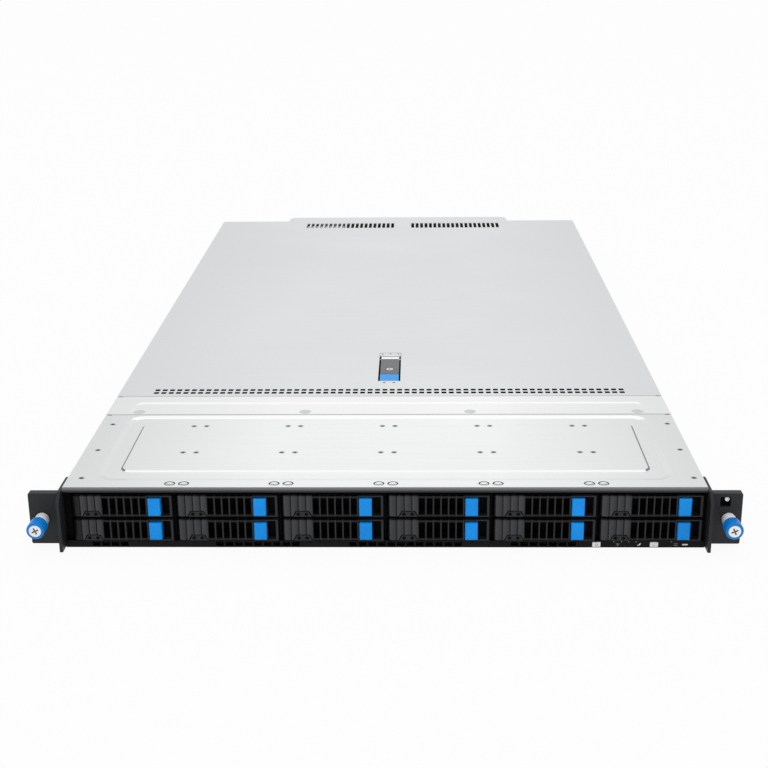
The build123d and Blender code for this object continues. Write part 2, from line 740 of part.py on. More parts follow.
def rack_ear(side):
    """Ear that meets the rack post, with the flange plate that carries it on the chassis side."""
    plate_front = -EAR_T - EAR_PLATE_REACH
    plate_rear = plate_front + EAR_PLATE_L
    plate_top = CHASSIS_H - EAR_PLATE_DROP
    outline = (
        (plate_front, EAR_PLATE_Z),
        (plate_rear, EAR_PLATE_Z),
        (plate_rear, plate_top),
        (plate_front + EAR_PLATE_CHAMFER, plate_top),
        (plate_front, plate_top - EAR_PLATE_CHAMFER),
    )
    plate = profile_x(outline, (HALF_W, HALF_W + EAR_PLATE_T))
    ear = block(span(HALF_W, EAR_W), (-EAR_T, 0), (EAR_Z, CHASSIS_H - EAR_TOP_DROP))
    corners = ear.edges().filter_by(Axis.Y).group_by(Axis.X)[-1]
    ear = fillet(corners, EAR_ROUND) + plate
    ear -= rod_y(SCREW_X, SCREW_Z, SHANK_R + RUN_GAP, (-2 * EAR_T, EAR_T))
    if side > 0:
        window = around(MID_Z + EAR_WINDOW_RISE, EAR_WINDOW)
        ear -= block(around(HALF_W + EAR_WINDOW_IN, EAR_WINDOW), (-2 * EAR_T, EAR_T), window)
        return ear
    return mirror(ear, Plane.YZ)


def thumbscrew(side):
    """Steel screw and ferrule with a blue knob."""
    x = side * SCREW_X
    head = (KNOB_TIP + SCREW_HEAD_DROP, KNOB_TIP + SCREW_HEAD_DROP + SCREW_HEAD_L)
    screw = rod_y(x, SCREW_Z, SCREW_R, (0, SCREW_REACH)) + rod_y(x, SCREW_Z, SHANK_R, (head[0], 0))
    screw += rod_y(x, SCREW_Z, SCREW_HEAD_R, head)
    bore = rod_y(x, SCREW_Z, SHANK_R + RUN_GAP, (2 * KNOB_TIP, EAR_T))
    ferrule = rod_y(x, SCREW_Z, FERRULE_R, (-EAR_T - FERRULE_L, -EAR_T - FIT_GAP)) - bore
    knob = rod_y(x, SCREW_Z, KNOB_R, span(KNOB_TIP, KNOB_L))
    knob = fillet(knob.edges().group_by(Axis.Y)[0], KNOB_ROUND)
    knob -= bore + rod_y(x, SCREW_Z, SCREW_HEAD_R + RUN_GAP, (2 * KNOB_TIP, head[1]))
    return screw, ferrule, knob


# Front frame, cage and backplane

def bay_corners():
    """Left lower front corner of each tray's face, the upper row first."""
    first = BAY_SHIFT + (BAY_PITCH - BAYS_W - BEZEL_W) / 2
    rows = [ROW_Z + row * ROW_PITCH for row in reversed(range(ROWS))]
    return [(first + column * BAY_PITCH, z) for z in rows for column in range(COLUMNS)]


def front_frame():
    """Black frame round the bays, with the brow above them and the vent strip below."""
    frame = block((-HALF_W, HALF_W), (FRAME_FACE, FRAME_REAR), (STRIP_TOP, BAY_TOP))
    through = (TRAY_FRONT, 0)
    for x, z in bay_corners():
        opening = around(x + BEZEL_W / 2, BAY_W)
        frame -= block(opening, through, (z - BAY_CLEAR, z + BEZEL_H + BAY_CLEAR))
    return frame + brow() + vent_strip()


def brow():
    """Chamfered bar above the bays, with a dark recess under it."""
    lip = COVER_FRONT - SEAM
    outline = (
        (TRAY_FRONT, BROW_Z),
        (TRAY_FRONT, CHASSIS_H - BROW_CHAMFER),
        (TRAY_FRONT + BROW_CHAMFER, CHASSIS_H),
        (lip, CHASSIS_H),
        (lip, WALL_TOP),
        (FRAME_REAR, WALL_TOP),
        (FRAME_REAR, BAY_TOP),
        (BROW_RECESS, BAY_TOP),
        (BROW_RECESS, BROW_Z),
    )
    return profile_x(outline, (-HALF_W, HALF_W))


def vent_strip():
    """Slotted bar under the bays, with the holes of the two push-buttons."""
    strip = block((-HALF_W, HALF_W), (STRIP_FACE, FRAME_REAR), (0, STRIP_TOP))
    through = (2 * STRIP_FACE, 0)
    for share, count in zip(STRIP_GROUP_SHARES, STRIP_GROUP_COUNTS):
        for index in range(count):
            x = share * HALF_W + (index - (count - 1) / 2) * STRIP_SLOT_PITCH
            strip -= block(around(x, STRIP_SLOT_W), through, span(STRIP_SLOT_Z, STRIP_SLOT_H))
    for x in FRONT_BUTTON_X:
        width = FRONT_BUTTON_W + 2 * FRONT_BUTTON_GAP
        height = FRONT_BUTTON_H + 2 * FRONT_BUTTON_GAP
        strip -= block(around(x, width), through, around(FRONT_BUTTON_Z, height))
    return strip


def front_button(x):
    """White cap through the vent strip, with a stem and a collar behind it."""
    cap_rear = FRAME_REAR - FRONT_BUTTON_TRAVEL - FRONT_BUTTON_GAP
    collar_front = FRAME_REAR + FRONT_BUTTON_GAP
    cap = (STRIP_FACE - FRONT_BUTTON_STAND, cap_rear)
    collar = span(collar_front, FRONT_COLLAR_T)
    stem_z = around(FRONT_BUTTON_Z + FRONT_BUTTON_GAP, FRONT_STEM_H)
    button = block(around(x, FRONT_BUTTON_W), cap, around(FRONT_BUTTON_Z, FRONT_BUTTON_H))
    button += block(around(x, FRONT_BUTTON_W), (cap_rear, collar_front), stem_z)
    return button + block(around(x, FRONT_COLLAR_W), collar, stem_z)


def cage():
    """Two shelves with guide ribs, between side plates."""
    inner = INNER_X - FIT_GAP
    depth = (FRAME_REAR, CAGE_REAR)
    frame = Part()
    for side in (-1, 1):
        plate = sorted((side * (inner - CAGE_SIDE_T), side * inner))
        frame += block(plate, depth, (SHEET, BAY_TOP))
    rib_w = BAY_PITCH - PAN_W - 2 * RIB_GAP
    for row in range(ROWS):
        top = STRIP_TOP + row * ROW_PITCH
        frame += block((-inner, inner), depth, (top - SHELF_T, top))
        for edge in range(COLUMNS + 1):
            x = BAY_SHIFT + edge * BAY_PITCH - BAYS_W / 2
            rib = (max(x - rib_w / 2, -inner), min(x + rib_w / 2, inner))
            frame += block(rib, (RIB_FRONT, CAGE_REAR), span(top, RIB_H))
    return frame


def drive_backplane():
    """Board behind the drives, with a connector for each and air slots."""
    board = block(around(0, BACKPLANE_W), span(BACKPLANE_Y, BOARD_T), span(BACKPLANE_Z, BACKPLANE_H))
    for x, z in bay_corners():
        middle = x + BEZEL_W / 2
        plug = span(z + PAN_T, CONNECTOR_H)
        slot = span(plug[1] + BACKPLANE_SLOT_GAP, BACKPLANE_SLOT_H)
        board += block(around(middle, CONNECTOR_W), (BACKPLANE_Y - CONNECTOR_L, BACKPLANE_Y), plug)
        board -= block(around(middle, CONNECTOR_W), span(BACKPLANE_Y, BOARD_T), slot)
    return board


# Drive tray, in its own frame: X across, Y rearwards from its face, Z up

def light_bump(grow):
    """Outline of the fixed light bump, grown by a clearance."""
    middle = BUMP_X + BUMP_W / 2
    base = BUMP_W / 2 + grow
    top = BUMP_TOP_W / 2 + grow
    height = BUMP_H + grow
    return ((middle - base, 0), (middle + base, 0), (middle + top, height), (middle - top, height))


def drive_tray():
    """Fixed tray: back plate, end frame, light bump, hinge tabs and pan."""
    back = span(BACK_Y, BACK_T)
    tray = block((LEVER_BACK_X, BEZEL_W), back, (0, BEZEL_H))
    window_pitch = LATTICE_COUNT * LATTICE_PITCH / BACK_WINDOWS
    for index in range(BACK_WINDOWS):
        x = span(LEVER_SOLID_L + index * window_pitch, window_pitch - LATTICE_BAR)
        tray -= block(x, back, around(BEZEL_H / 2, BACK_WINDOW_H))
    stem_room = STEM_W + TRAY_BUTTON_TRAVEL + 2 * FIT_GAP
    tray -= block(span(stem_x() - FIT_GAP, stem_room), back, around(BEZEL_H / 2, STEM_H + 2 * FIT_GAP))
    for z in ((0, END_BAR), (BEZEL_H - END_BAR, BEZEL_H)):
        tray += block((LEVER_L + FIT_GAP, BEZEL_W), (0, BACK_Y), z)
    tray += block((BEZEL_W - END_POST, BEZEL_W), (0, BACK_Y), (0, BEZEL_H))
    tray += profile_y(light_bump(0), (0, BACK_Y))
    for z in ((0, TAB_T), (BEZEL_H - TAB_T, BEZEL_H)):
        tray += rod_z(LEVER_R, LEVER_R, TAB_R, z)
        tray += block((TAB_NECK_X, LEVER_BACK_X), back, z)
    tray -= rod_z(LEVER_R, LEVER_R, LEVER_PIN_R + RUN_GAP, (0, BEZEL_H))
    pan_front = 2 * LEVER_R + BAY_CLEAR
    pan = around(BEZEL_W / 2, PAN_W)
    tray += block(pan, (pan_front, DRIVE_SETBACK + DRIVE_L), (0, PAN_T))
    return tray + block((LEVER_BACK_X, pan[1]), (back[1], pan_front), (0, PAN_T))


def stem_x():
    """Left side of the button's stem."""
    return TRAY_BUTTON_X + (TRAY_BUTTON_W - STEM_W) / 2


def drive():
    """Drive that the tray carries on its pan."""
    return block(span(DRIVE_X, DRIVE_W), span(DRIVE_SETBACK, DRIVE_L), span(PAN_T, DRIVE_H))


def tray_lever():
    """Ribbed and latticed lever on its vertical pin, notched round the light bump."""
    full = (LEVER_GAP, BEZEL_H - LEVER_GAP)
    neck = (TAB_T + TAB_GAP, BEZEL_H - TAB_T - TAB_GAP)
    lever = block((LEVER_R, LEVER_L), (0, LEVER_T), full)
    lever += rod_z(LEVER_R, LEVER_R, LEVER_R, full) & block((0, LEVER_R), (0, NOSE_DEPTH), full)
    for index in range(LATTICE_COUNT):
        x = span(LEVER_SOLID_L + index * LATTICE_PITCH, LATTICE_PITCH - LATTICE_BAR)
        lever -= block(x, (0, LEVER_T), (full[0] + LATTICE_RAIL, full[1] - LATTICE_RAIL))
    lever -= profile_y(light_bump(BUMP_GAP), (0, LEVER_T))
    for index in range(RIB_GROOVE_COUNT):
        x = RIB_GROOVE_FIRST + index * RIB_GROOVE_PITCH
        lever -= block(around(x, RIB_GROOVE_W), (0, RIB_GROOVE_DEPTH), (0, BEZEL_H))
    for z in ((0, neck[0]), (neck[1], BEZEL_H)):
        lever -= rod_z(LEVER_R, LEVER_R, TAB_R + TAB_GAP, z)
    lever += rod_z(LEVER_R, LEVER_R, LEVER_R, neck)
    return lever + rod_z(LEVER_R, LEVER_R, LEVER_PIN_R, (RUN_GAP, BEZEL_H - RUN_GAP))


def tray_button():
    """Blue push-button that slides sideways, on a stem through the back plate."""
    z = (END_BAR + FIT_GAP, BEZEL_H - TRAY_BUTTON_HEAD)
    cap = block(span(TRAY_BUTTON_X, TRAY_BUTTON_W), (-TRAY_BUTTON_STAND, BACK_Y - FIT_GAP), z)
    cap = chamfer(cap.faces().sort_by(Axis.Y)[0].edges(), TRAY_BUTTON_CHAMFER)
    stem = (BACK_Y - FIT_GAP, BACK_Y + STEM_L)
    return cap + block(span(stem_x(), STEM_W), stem, around(BEZEL_H / 2, STEM_H))


# Fans

def fan_frame(x):
    """Square frame with its bore, struts, motor seat and shaft."""
    seat = (FAN_REAR - FAN_STRUT_L, FAN_REAR)
    frame = block(around(x, FAN_SIZE), (FAN_FRONT, FAN_REAR), around(FAN_Z, FAN_SIZE))
    frame -= rod_y(x, FAN_Z, FAN_BORE_R, (FAN_FRONT, FAN_REAR))
    frame += block(around(x, FAN_SIZE), seat, around(FAN_Z, FAN_STRUT_W))
    frame += block(around(x, FAN_STRUT_W), seat, around(FAN_Z, FAN_SIZE))
    frame += rod_y(x, FAN_Z, FAN_HUB_R, seat)
    return frame + rod_y(x, FAN_Z, FAN_SHAFT_R, (seat[0] - FAN_HUB_L / 2, seat[0]))


def fan_wall():
    """Sheet across the chassis behind the fans, with a hole for each."""
    inner = INNER_X - FIT_GAP
    top = WALL_TOP - SHEET - FIT_GAP
    wall = block((-inner, inner), span(FAN_REAR, SHEET), (SHEET, top))
    for x in FAN_X:
        wall -= rod_y(x, FAN_Z, FAN_BORE_R, span(FAN_REAR, SHEET))
    return wall


def fan_rotor(x):
    """Hub with pitched blades, on the frame's shaft."""
    tip = FAN_BORE_R - FAN_TIP_GAP
    ring = Cylinder(tip, FAN_HUB_L) - Cylinder(FAN_HUB_R - FAN_BLADE_T, FAN_HUB_L)
    blade = Pos(tip / 2, 0, 0) * Rot(FAN_BLADE_PITCH, 0, 0) * Box(tip * 2, FAN_BLADE_CHORD, FAN_BLADE_T)
    blade &= Pos(tip, 0, 0) * Box(tip * 2, FAN_BLADE_CHORD, FAN_HUB_L)
    blade &= ring
    bore_l = FAN_HUB_L / 2 + FIT_GAP
    rotor = Cylinder(FAN_HUB_R, FAN_HUB_L)
    rotor -= Pos(0, 0, -FAN_HUB_L / 2 + bore_l / 2) * Cylinder(FAN_SHAFT_R + RUN_GAP, bore_l)
    for index in range(FAN_BLADES):
        rotor += Rot(0, 0, index * 360 / FAN_BLADES) * blade
    middle = FAN_REAR - FAN_STRUT_L - FIT_GAP - FAN_HUB_L / 2
    return Plane.XZ * Pos(x, FAN_Z, -middle) * rotor


# Motherboard and what stands on it

def motherboard():
    """Board with a narrower tail towards the rear ports."""
    board = block(around(0, BOARD_W), (BOARD_FRONT, BOARD_REAR), (BOARD_Z, BOARD_TOP))
    tail = (BOARD_REAR, CHASSIS_REAR - BOARD_REAR_INSET)
    return board + block((BOARD_REAR_X, BOARD_W / 2), tail, (BOARD_Z, BOARD_TOP))


def dimm_places():
    """X of each memory socket, in a group on either side of each processor."""
    offsets = [DIMM_OFFSET + index * DIMM_PITCH for index in range(DIMM_COUNT)]
    return [cpu * CPU_X + side * offset for cpu in (-1, 1) for side in (-1, 1) for offset in offsets]


def memory_socket(x):
    """Long socket with a groove for the module's edge."""
    length = around(CPU_Y, DIMM_SOCKET_L)
    socket = block(around(x, DIMM_SOCKET_T), length, span(BOARD_TOP, DIMM_SOCKET_H))
    groove = span(DIMM_Z, DIMM_DEPTH)
    width = DIMM_T + 2 * DIMM_SLOT_GAP
    return socket - block(around(x, width), around(CPU_Y, DIMM_L + 2 * DIMM_SLOT_GAP), groove)


def memory_module(x):
    """Module that stands in its socket."""
    return block(around(x, DIMM_T), around(CPU_Y, DIMM_L), (DIMM_Z, COVER_Z - DIMM_HEAD))


def cpu_socket(side):
    """Processor and socket under the heatsink."""
    return block(
        around(side * CPU_X, CPU_SOCKET_W), around(CPU_Y, CPU_SOCKET_L), span(BOARD_TOP, CPU_SOCKET_H)
    )


def cpu_heatsink(side):
    """Base with fins along the air flow."""
    length = around(CPU_Y, SINK_L)
    x = side * CPU_X
    sink = block(around(x, SINK_W), length, span(SINK_Z, SINK_BASE_T))
    pitch = (SINK_W - SINK_FIN_T) / (SINK_FINS - 1)
    for index in range(SINK_FINS):
        fin = span(x - SINK_W / 2 + index * pitch, SINK_FIN_T)
        sink += block(fin, length, (SINK_Z + SINK_BASE_T, SINK_TOP))
    return sink


def net_ports():
    """Row of network sockets."""
    middle, width, height = port_fronts()[0]
    ports = block(around(middle, width), (PORT_FACE - NET_L, PORT_FACE), span(BOARD_TOP, height))
    depth = (PORT_FACE - NET_SOCKET_L, PORT_FACE)
    for index in range(NET_PORTS):
        socket = around(NET_X + index * NET_PITCH, NET_SOCKET_W)
        ports -= block(socket, depth, span(BOARD_TOP + NET_SOCKET_Z, NET_SOCKET_H))
    return ports


def serial_ports():
    """Serial-bus sockets, each in its own shell."""
    ports = []
    for index in range(SERIAL_PORTS):
        x = SERIAL_X + index * SERIAL_PITCH
        port = block(around(x, SERIAL_W), (PORT_FACE - SERIAL_L, PORT_FACE), span(BOARD_TOP, SERIAL_HEIGHT))
        middle = BOARD_TOP + SERIAL_HEIGHT / 2
        depth = (PORT_FACE - SERIAL_SOCKET_L, PORT_FACE)
        ports.append(port - block(around(x, SERIAL_SOCKET_W), depth, around(middle, SERIAL_SOCKET_H)))
    return ports


def video_port():
    """Video connector with its wedge-shaped shell."""
    port = block(around(VIDEO_X, VIDEO_W), (PORT_FACE - VIDEO_L, PORT_FACE), span(BOARD_TOP, VIDEO_HEIGHT))
    low = BOARD_TOP + (VIDEO_HEIGHT - VIDEO_SHELL_H) / 2
    high = low + VIDEO_SHELL_H
    wide = VIDEO_SHELL_W / 2
    narrow = wide - VIDEO_SHELL_H * tan(radians(VIDEO_SHELL_ANGLE))
    foot = ((VIDEO_X - narrow, low), (VIDEO_X + narrow, low))
    shell = (*foot, (VIDEO_X + wide, high), (VIDEO_X - wide, high))
    return port + profile_y(shell, span(PORT_FACE, VIDEO_SHELL_L))


def riser():
    """Upright card with a sideways expansion socket."""
    rear = CHASSIS_REAR - RISER_REAR_GAP
    card = block(span(RISER_X, BOARD_T), (rear - RISER_L, rear), span(BOARD_TOP, RISER_H))
    middle = rear - RISER_L / 2
    top = BOARD_TOP + RISER_H
    socket = span(RISER_X + BOARD_T, RISER_SLOT_W)
    return card + block(socket, around(middle, RISER_SLOT_L), (top - RISER_SLOT_H, top))


# Power supplies

def power_supply(x):
    """Closed supply with its mains inlet, fan guard and handle."""
    body = block(around(x, PSU_W), (PSU_REAR - PSU_L, PSU_REAR), span(PSU_Z, PSU_H))
    inlet = x + INLET_X
    body += block(around(inlet, INLET_W), span(PSU_REAR, INLET_RIM), around(INLET_Z, INLET_H))
    floor = PSU_REAR + INLET_RIM - INLET_SOCKET_L
    room = (floor, PSU_REAR + INLET_RIM)
    body -= block(around(inlet, INLET_SOCKET_W), room, around(INLET_Z, INLET_SOCKET_H))
    for offset, drop in ((-1, 1), (0, -1), (1, 1)):
        pin_x = inlet + offset * INLET_PIN_SPREAD
        pin_z = INLET_Z - drop * INLET_PIN_DROP
        body += block(around(pin_x, INLET_PIN_W), span(floor, INLET_PIN_L), around(pin_z, INLET_PIN_H))
    return body - fan_guard(x + PSU_FAN_X) + handle(x + HANDLE_X)


def fan_guard(x):
    """The air openings between the guard's rings and bars."""
    z = PSU_Z + PSU_H / 2
    depth = (PSU_REAR - PSU_FAN_DEPTH, PSU_REAR)
    air = rod_y(x, z, PSU_FAN_R, depth)
    for radius in PSU_RINGS:
        air -= rod_y(x, z, radius, depth) - rod_y(x, z, radius - PSU_RING_W, depth)
    air -= block(around(x, 2 * PSU_FAN_R), depth, around(z, PSU_BAR_W))
    return air - block(around(x, PSU_BAR_W), depth, around(z, 2 * PSU_FAN_R))


def handle(x):
    """Upright grip on two arms."""
    reach = (PSU_REAR, PSU_REAR + HANDLE_REACH)
    low = PSU_Z + HANDLE_Z
    grip = block(around(x, HANDLE_W), (reach[1] - HANDLE_T, reach[1]), span(low, HANDLE_H))
    for z in (low, low + HANDLE_H - HANDLE_T):
        grip += block(around(x, HANDLE_W), reach, span(z, HANDLE_T))
    return grip


def release_leaf(x):
    """Sprung leaf that is pressed to let the supply out."""
    leaf = (x + PSU_W / 2 - LEAF_W - FIT_GAP, x + PSU_W / 2 - FIT_GAP)
    return block(leaf, span(PSU_REAR, LEAF_REACH), span(PSU_Z + LEAF_Z, LEAF_H))


os.makedirs("parts", exist_ok=True)

save("chassis_tub", *chassis_tub(), slot_cover())
save("drive_bay_cover", drive_bay_cover())
save("fan_bay_cover", fan_bay_cover())
save("rear_cover", rear_cover())
save("cover_latch", *cover_latch())
save("rack_ears", rack_ear(-1), rack_ear(1))
save("thumbscrew_left", *thumbscrew(-1))
save("thumbscrew_right", *thumbscrew(1))
save("drive_cage", front_frame(), cage())
save("drive_backplane", drive_backplane())
save("power_button", front_button(FRONT_BUTTON_X[0]))
save("locate_button", front_button(FRONT_BUTTON_X[1]))

TRAY_PIECES = (drive_tray(), drive())
LEVER = tray_lever()
BUTTON = tray_button()
for number, (x, z) in enumerate(bay_corners(), start=1):
    place = Pos(x, TRAY_FRONT, z)
    save(f"drive_tray_{number:02d}", *(place * piece for piece in TRAY_PIECES))
    save(f"tray_lever_{number:02d}", place * LEVER)
    save(f"tray_button_{number:02d}", place * BUTTON)

save("fan_frames", fan_wall(), *(fan_frame(x) for x in FAN_X))
for number, x in enumerate(FAN_X, start=1):
    save(f"fan_rotor_{number}", fan_rotor(x))

PORTS = [net_ports(), *serial_ports(), video_port()]
save("motherboard", motherboard(), *PORTS, riser(), cpu_socket(-1), cpu_socket(1))
save("cpu_heatsinks", cpu_heatsink(-1), cpu_heatsink(1))
MEMORY = [make(x) for make in (memory_socket, memory_module) for x in dimm_places()]
save("memory_banks", *MEMORY)

for name, x in zip(("psu_left", "psu_right"), PSU_X):
    save(name, power_supply(x), release_leaf(x))
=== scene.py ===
# %% [markdown]
# A rack server of one unit, dressed for the camera.
# The solids come from the construction model, already in place and in metres.
# This notebook only adds what a photograph needs: a view, light, finishes and the small fittings.

# %% Load the solids
import json
import math

import bmesh
import bpy
from mathutils import Matrix, Vector

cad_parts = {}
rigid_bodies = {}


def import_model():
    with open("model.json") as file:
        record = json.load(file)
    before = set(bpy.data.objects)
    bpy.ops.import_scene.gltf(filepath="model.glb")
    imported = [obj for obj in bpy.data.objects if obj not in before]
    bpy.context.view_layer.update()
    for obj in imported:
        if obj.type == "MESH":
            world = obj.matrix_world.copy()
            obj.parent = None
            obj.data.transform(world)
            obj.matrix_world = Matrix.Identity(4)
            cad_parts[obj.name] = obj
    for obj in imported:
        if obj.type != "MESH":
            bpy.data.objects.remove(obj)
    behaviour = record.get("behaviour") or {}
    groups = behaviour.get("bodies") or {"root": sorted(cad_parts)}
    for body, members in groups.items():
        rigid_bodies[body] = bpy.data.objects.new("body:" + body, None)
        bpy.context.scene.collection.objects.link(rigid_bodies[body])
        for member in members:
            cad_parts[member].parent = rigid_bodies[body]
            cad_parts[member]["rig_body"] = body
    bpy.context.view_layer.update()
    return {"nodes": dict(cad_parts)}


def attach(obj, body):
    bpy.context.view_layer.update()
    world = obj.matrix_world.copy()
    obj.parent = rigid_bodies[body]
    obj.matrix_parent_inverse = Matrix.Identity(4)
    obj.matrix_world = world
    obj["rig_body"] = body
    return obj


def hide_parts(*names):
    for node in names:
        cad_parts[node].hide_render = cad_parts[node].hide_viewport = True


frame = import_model()
MM = 0.001

# %% [markdown]
# The camera stands a little above the server, in front of its middle, and looks down by 19 degrees.
# Its place could be guessed by eye, but a camera fitted to known lengths of the real object puts each
# edge where the photograph has it. The lens of 64 mm gives the strong narrowing towards the rear.

# %% Camera
CAMERA_AT = Vector((22.0, -855.2, 411.2)) * MM
PITCH, YAW, ROLL = (math.radians(a) for a in (19.03, -1.40, -0.57))
FOCAL_LENGTH, SENSOR_W, FARTHEST = 64.32, 36.0, 60.0


def camera_axes():
    """Right, up and forward of the fitted view."""
    ahead = Vector((math.sin(YAW), math.cos(YAW), 0))
    forward = math.cos(PITCH) * ahead - math.sin(PITCH) * Vector((0, 0, 1))
    level = Vector((math.cos(YAW), -math.sin(YAW), 0))
    upright = level.cross(forward)
    right = math.cos(ROLL) * level + math.sin(ROLL) * upright
    up = -math.sin(ROLL) * level + math.cos(ROLL) * upright
    return right, up, forward


right, up, forward = camera_axes()
lens = bpy.data.cameras.new("view")
lens.sensor_width = SENSOR_W
lens.lens = FOCAL_LENGTH
lens.clip_end = FARTHEST
camera = bpy.data.objects.new("view", lens)
turned = Matrix((right, up, -forward)).transposed().to_4x4()
camera.matrix_world = Matrix.Translation(CAMERA_AT) @ turned
bpy.context.scene.collection.objects.link(camera)
bpy.context.scene.camera = camera
print("camera at", tuple(round(v, 3) for v in camera.location))

# %% [markdown]
# Node materials are sums and products of patterns, so they read best as arithmetic.
# One small class wraps a socket: its operators add Math nodes, and its node method adds any other node.
# Everything below writes a finish as an expression on it.

# %% A socket that does arithmetic
class Wire:
    """A socket of a material, on which arithmetic builds Math nodes."""

    def __init__(self, tree, socket):
        self.tree = tree
        self.socket = socket

    def node(self, kind, settings=None, sockets=None, out=0):
        """Add a node, set it up, feed its sockets, and return one of its outputs."""
        made = self.tree.nodes.new(kind)
        for name, value in (settings or {}).items():
            setattr(made, name, value)
        for name, value in (sockets or {}).items():
            if isinstance(value, Wire):
                self.tree.links.new(value.socket, made.inputs[name])
            else:
                made.inputs[name].default_value = value
        return Wire(self.tree, made.outputs[out])

    def math(self, operation, *others):
        """Add a Math node on this socket and other values."""
        values = dict(enumerate((self, *others)))
        return self.node("ShaderNodeMath", {"operation": operation}, values)

    def __add__(self, other):
        return self.math("ADD", other)

    def __sub__(self, other):
        return self.math("SUBTRACT", other)

    def __rsub__(self, other):
        return self.node("ShaderNodeMath", {"operation": "SUBTRACT"}, {0: other, 1: self})

    def __mul__(self, other):
        return self.math("MULTIPLY", other)

    def part(self, which):
        """The x, y or z of a vector, by its number."""
        return self.node("ShaderNodeSeparateXYZ", {}, {0: self}, out=which)

    def noise(self, scale, detail=2.0, stretch=(1, 1, 1)):
        """Cloudy values about 0.5 at this many waves a metre."""
        turned = self.node("ShaderNodeMapping", {}, {"Vector": self, "Scale": stretch})
        sockets = {"Vector": turned, "Scale": scale, "Detail": detail}
        return self.node("ShaderNodeTexNoise", {}, sockets)

    def between(self, low, high):
        """Values from low to high rescaled to run from 0 to 1."""
        sockets = {"Value": self, "From Min": low, "From Max": high}
        return self.node("ShaderNodeMapRange", {"clamp": True}, sockets)

    def mix(self, colour_a, colour_b):
        """Colour a where this is 0 and colour b where it is 1."""
        a, b = (c if isinstance(c, Wire) else (*c, 1) for c in (colour_a, colour_b))
        return self.node("ShaderNodeMix", {"data_type": "RGBA"}, {0: self, 6: a, 7: b}, out=2)


def srgb(red, green, blue):
    """A screen colour of 0 to 255 as the linear colour that Blender mixes."""
    shares = (value / 255 for value in (red, green, blue))
    return tuple(s / 12.92 if s <= 0.04045 else ((s + 0.055) / 1.055) ** 2.4 for s in shares)


def finish(name, paint):
    """A material whose paint function returns the shader's inputs, with a bump height and depth."""
    material = bpy.data.materials.new(name)
    material.use_nodes = True
    tree = material.node_tree
    shader = tree.nodes["Principled BSDF"]
    place = tree.nodes.new("ShaderNodeTexCoord")
    inputs, height, depth = paint(Wire(tree, place.outputs["Object"]))
    if height is not None:
        sockets = {"Height": height, "Strength": 1.0, "Distance": depth}
        inputs["Normal"] = height.node("ShaderNodeBump", {}, sockets)
    for socket, value in inputs.items():
        if isinstance(value, Wire):
            tree.links.new(value.socket, shader.inputs[socket])
        elif isinstance(value, tuple):
            shader.inputs[socket].default_value = (*value, 1)
        else:
            shader.inputs[socket].default_value = value
    return material


print("shader arithmetic is ready")

# %% [markdown]
# The studio is a wide white floor, one large soft lamp above, weaker ones in front, and a sky that is
# white at half height and greyer towards the horizon and overhead. The sky matters most: flat zinc
# sheet mirrors it. A level sheet shows the pale lower sky, the steep sides of a pressing show its
# greyer parts, and slopes that face the camera show the white, so the pressings draw themselves. The
# lamps are wide and weak, so that a cover never mirrors a burnt-out patch: most light is the sky's.
# Straight to the camera the sky is plain white, so a low view has no grey band above the floor. The
# floor could be lit until it is white, but that would burn out the pale covers as well. So it shows
# most of its white straight to the camera, and keeps a share of real shading, which holds the shadow.

# %% Floor, lamps and sky
FLOOR_HALF = 12.0
FLOOR_SHARE = 0.93
FLOOR_PAINT = (0.82, 0.82, 0.82, 1)
SKY_RIM = (0.62, 0.62, 0.625)
SKY_WHITE = (1.0, 1.0, 1.0)
SKY_SIDE = (0.84, 0.84, 0.845)
SKY_TOP = (0.74, 0.74, 0.745)
SKY_FILL = (0.92, 0.92, 0.925)
RISE, OVERHEAD, ASIDE = (0.0, 0.5), (0.72, 0.92), (0.12, 0.4)


def seen_ray(tree):
    """1 for rays that the camera sees, in a mirror or through glass too, and 0 for plain light."""
    path = tree.nodes.new("ShaderNodeLightPath")
    seen = Wire(tree, path.outputs["Is Camera Ray"])
    for ray in ("Is Glossy Ray", "Is Transmission Ray"):
        seen = seen.math("MAXIMUM", Wire(tree, path.outputs[ray]))
    return seen


def floor_finish():
    """White to the camera and in reflections, with a share of real shading for the shadow."""
    material = bpy.data.materials.new("floor_white")
    material.use_nodes = True
    tree = material.node_tree
    tree.nodes.remove(tree.nodes["Principled BSDF"])
    seen = seen_ray(tree)
    plain = seen.node("ShaderNodeBsdfDiffuse", {}, {"Color": FLOOR_PAINT})
    white = seen.node("ShaderNodeEmission", {}, {"Color": (*SKY_WHITE, 1), "Strength": 1.0})
    shown = seen.node("ShaderNodeMixShader", {}, {0: seen * FLOOR_SHARE, 1: plain, 2: white})
    tree.links.new(shown.socket, tree.nodes["Material Output"].inputs["Surface"])
    return material


mesh = bpy.data.meshes.new("studio_floor")
shape = bmesh.new()
bmesh.ops.create_grid(shape, x_segments=4, y_segments=4, size=FLOOR_HALF)
shape.to_mesh(mesh)
shape.free()
floor = bpy.data.objects.new("studio_floor", mesh)
floor.data.materials.append(floor_finish())
bpy.context.scene.collection.objects.link(floor)


def lamp(name, at, target, size, power):
    """A square soft lamp that faces its target."""
    light = bpy.data.lights.new(name, "AREA")
    light.size = size
    light.energy = power
    made = bpy.data.objects.new(name, light)
    made.location = at
    made.rotation_euler = (Vector(target) - Vector(at)).to_track_quat("-Z", "Y").to_euler()
    bpy.context.scene.collection.objects.link(made)


lamp("overhead", (0.0, 0.35, 1.9), (0.0, 0.35, 0.0), 2.4, 4.5)
lamp("front_fill", (-0.9, -1.7, 1.3), (0.0, 0.0, 0.0), 2.1, 1.8)
lamp("right_fill", (1.3, -1.2, 1.0), (0.0, 0.1, 0.0), 1.7, 0.8)

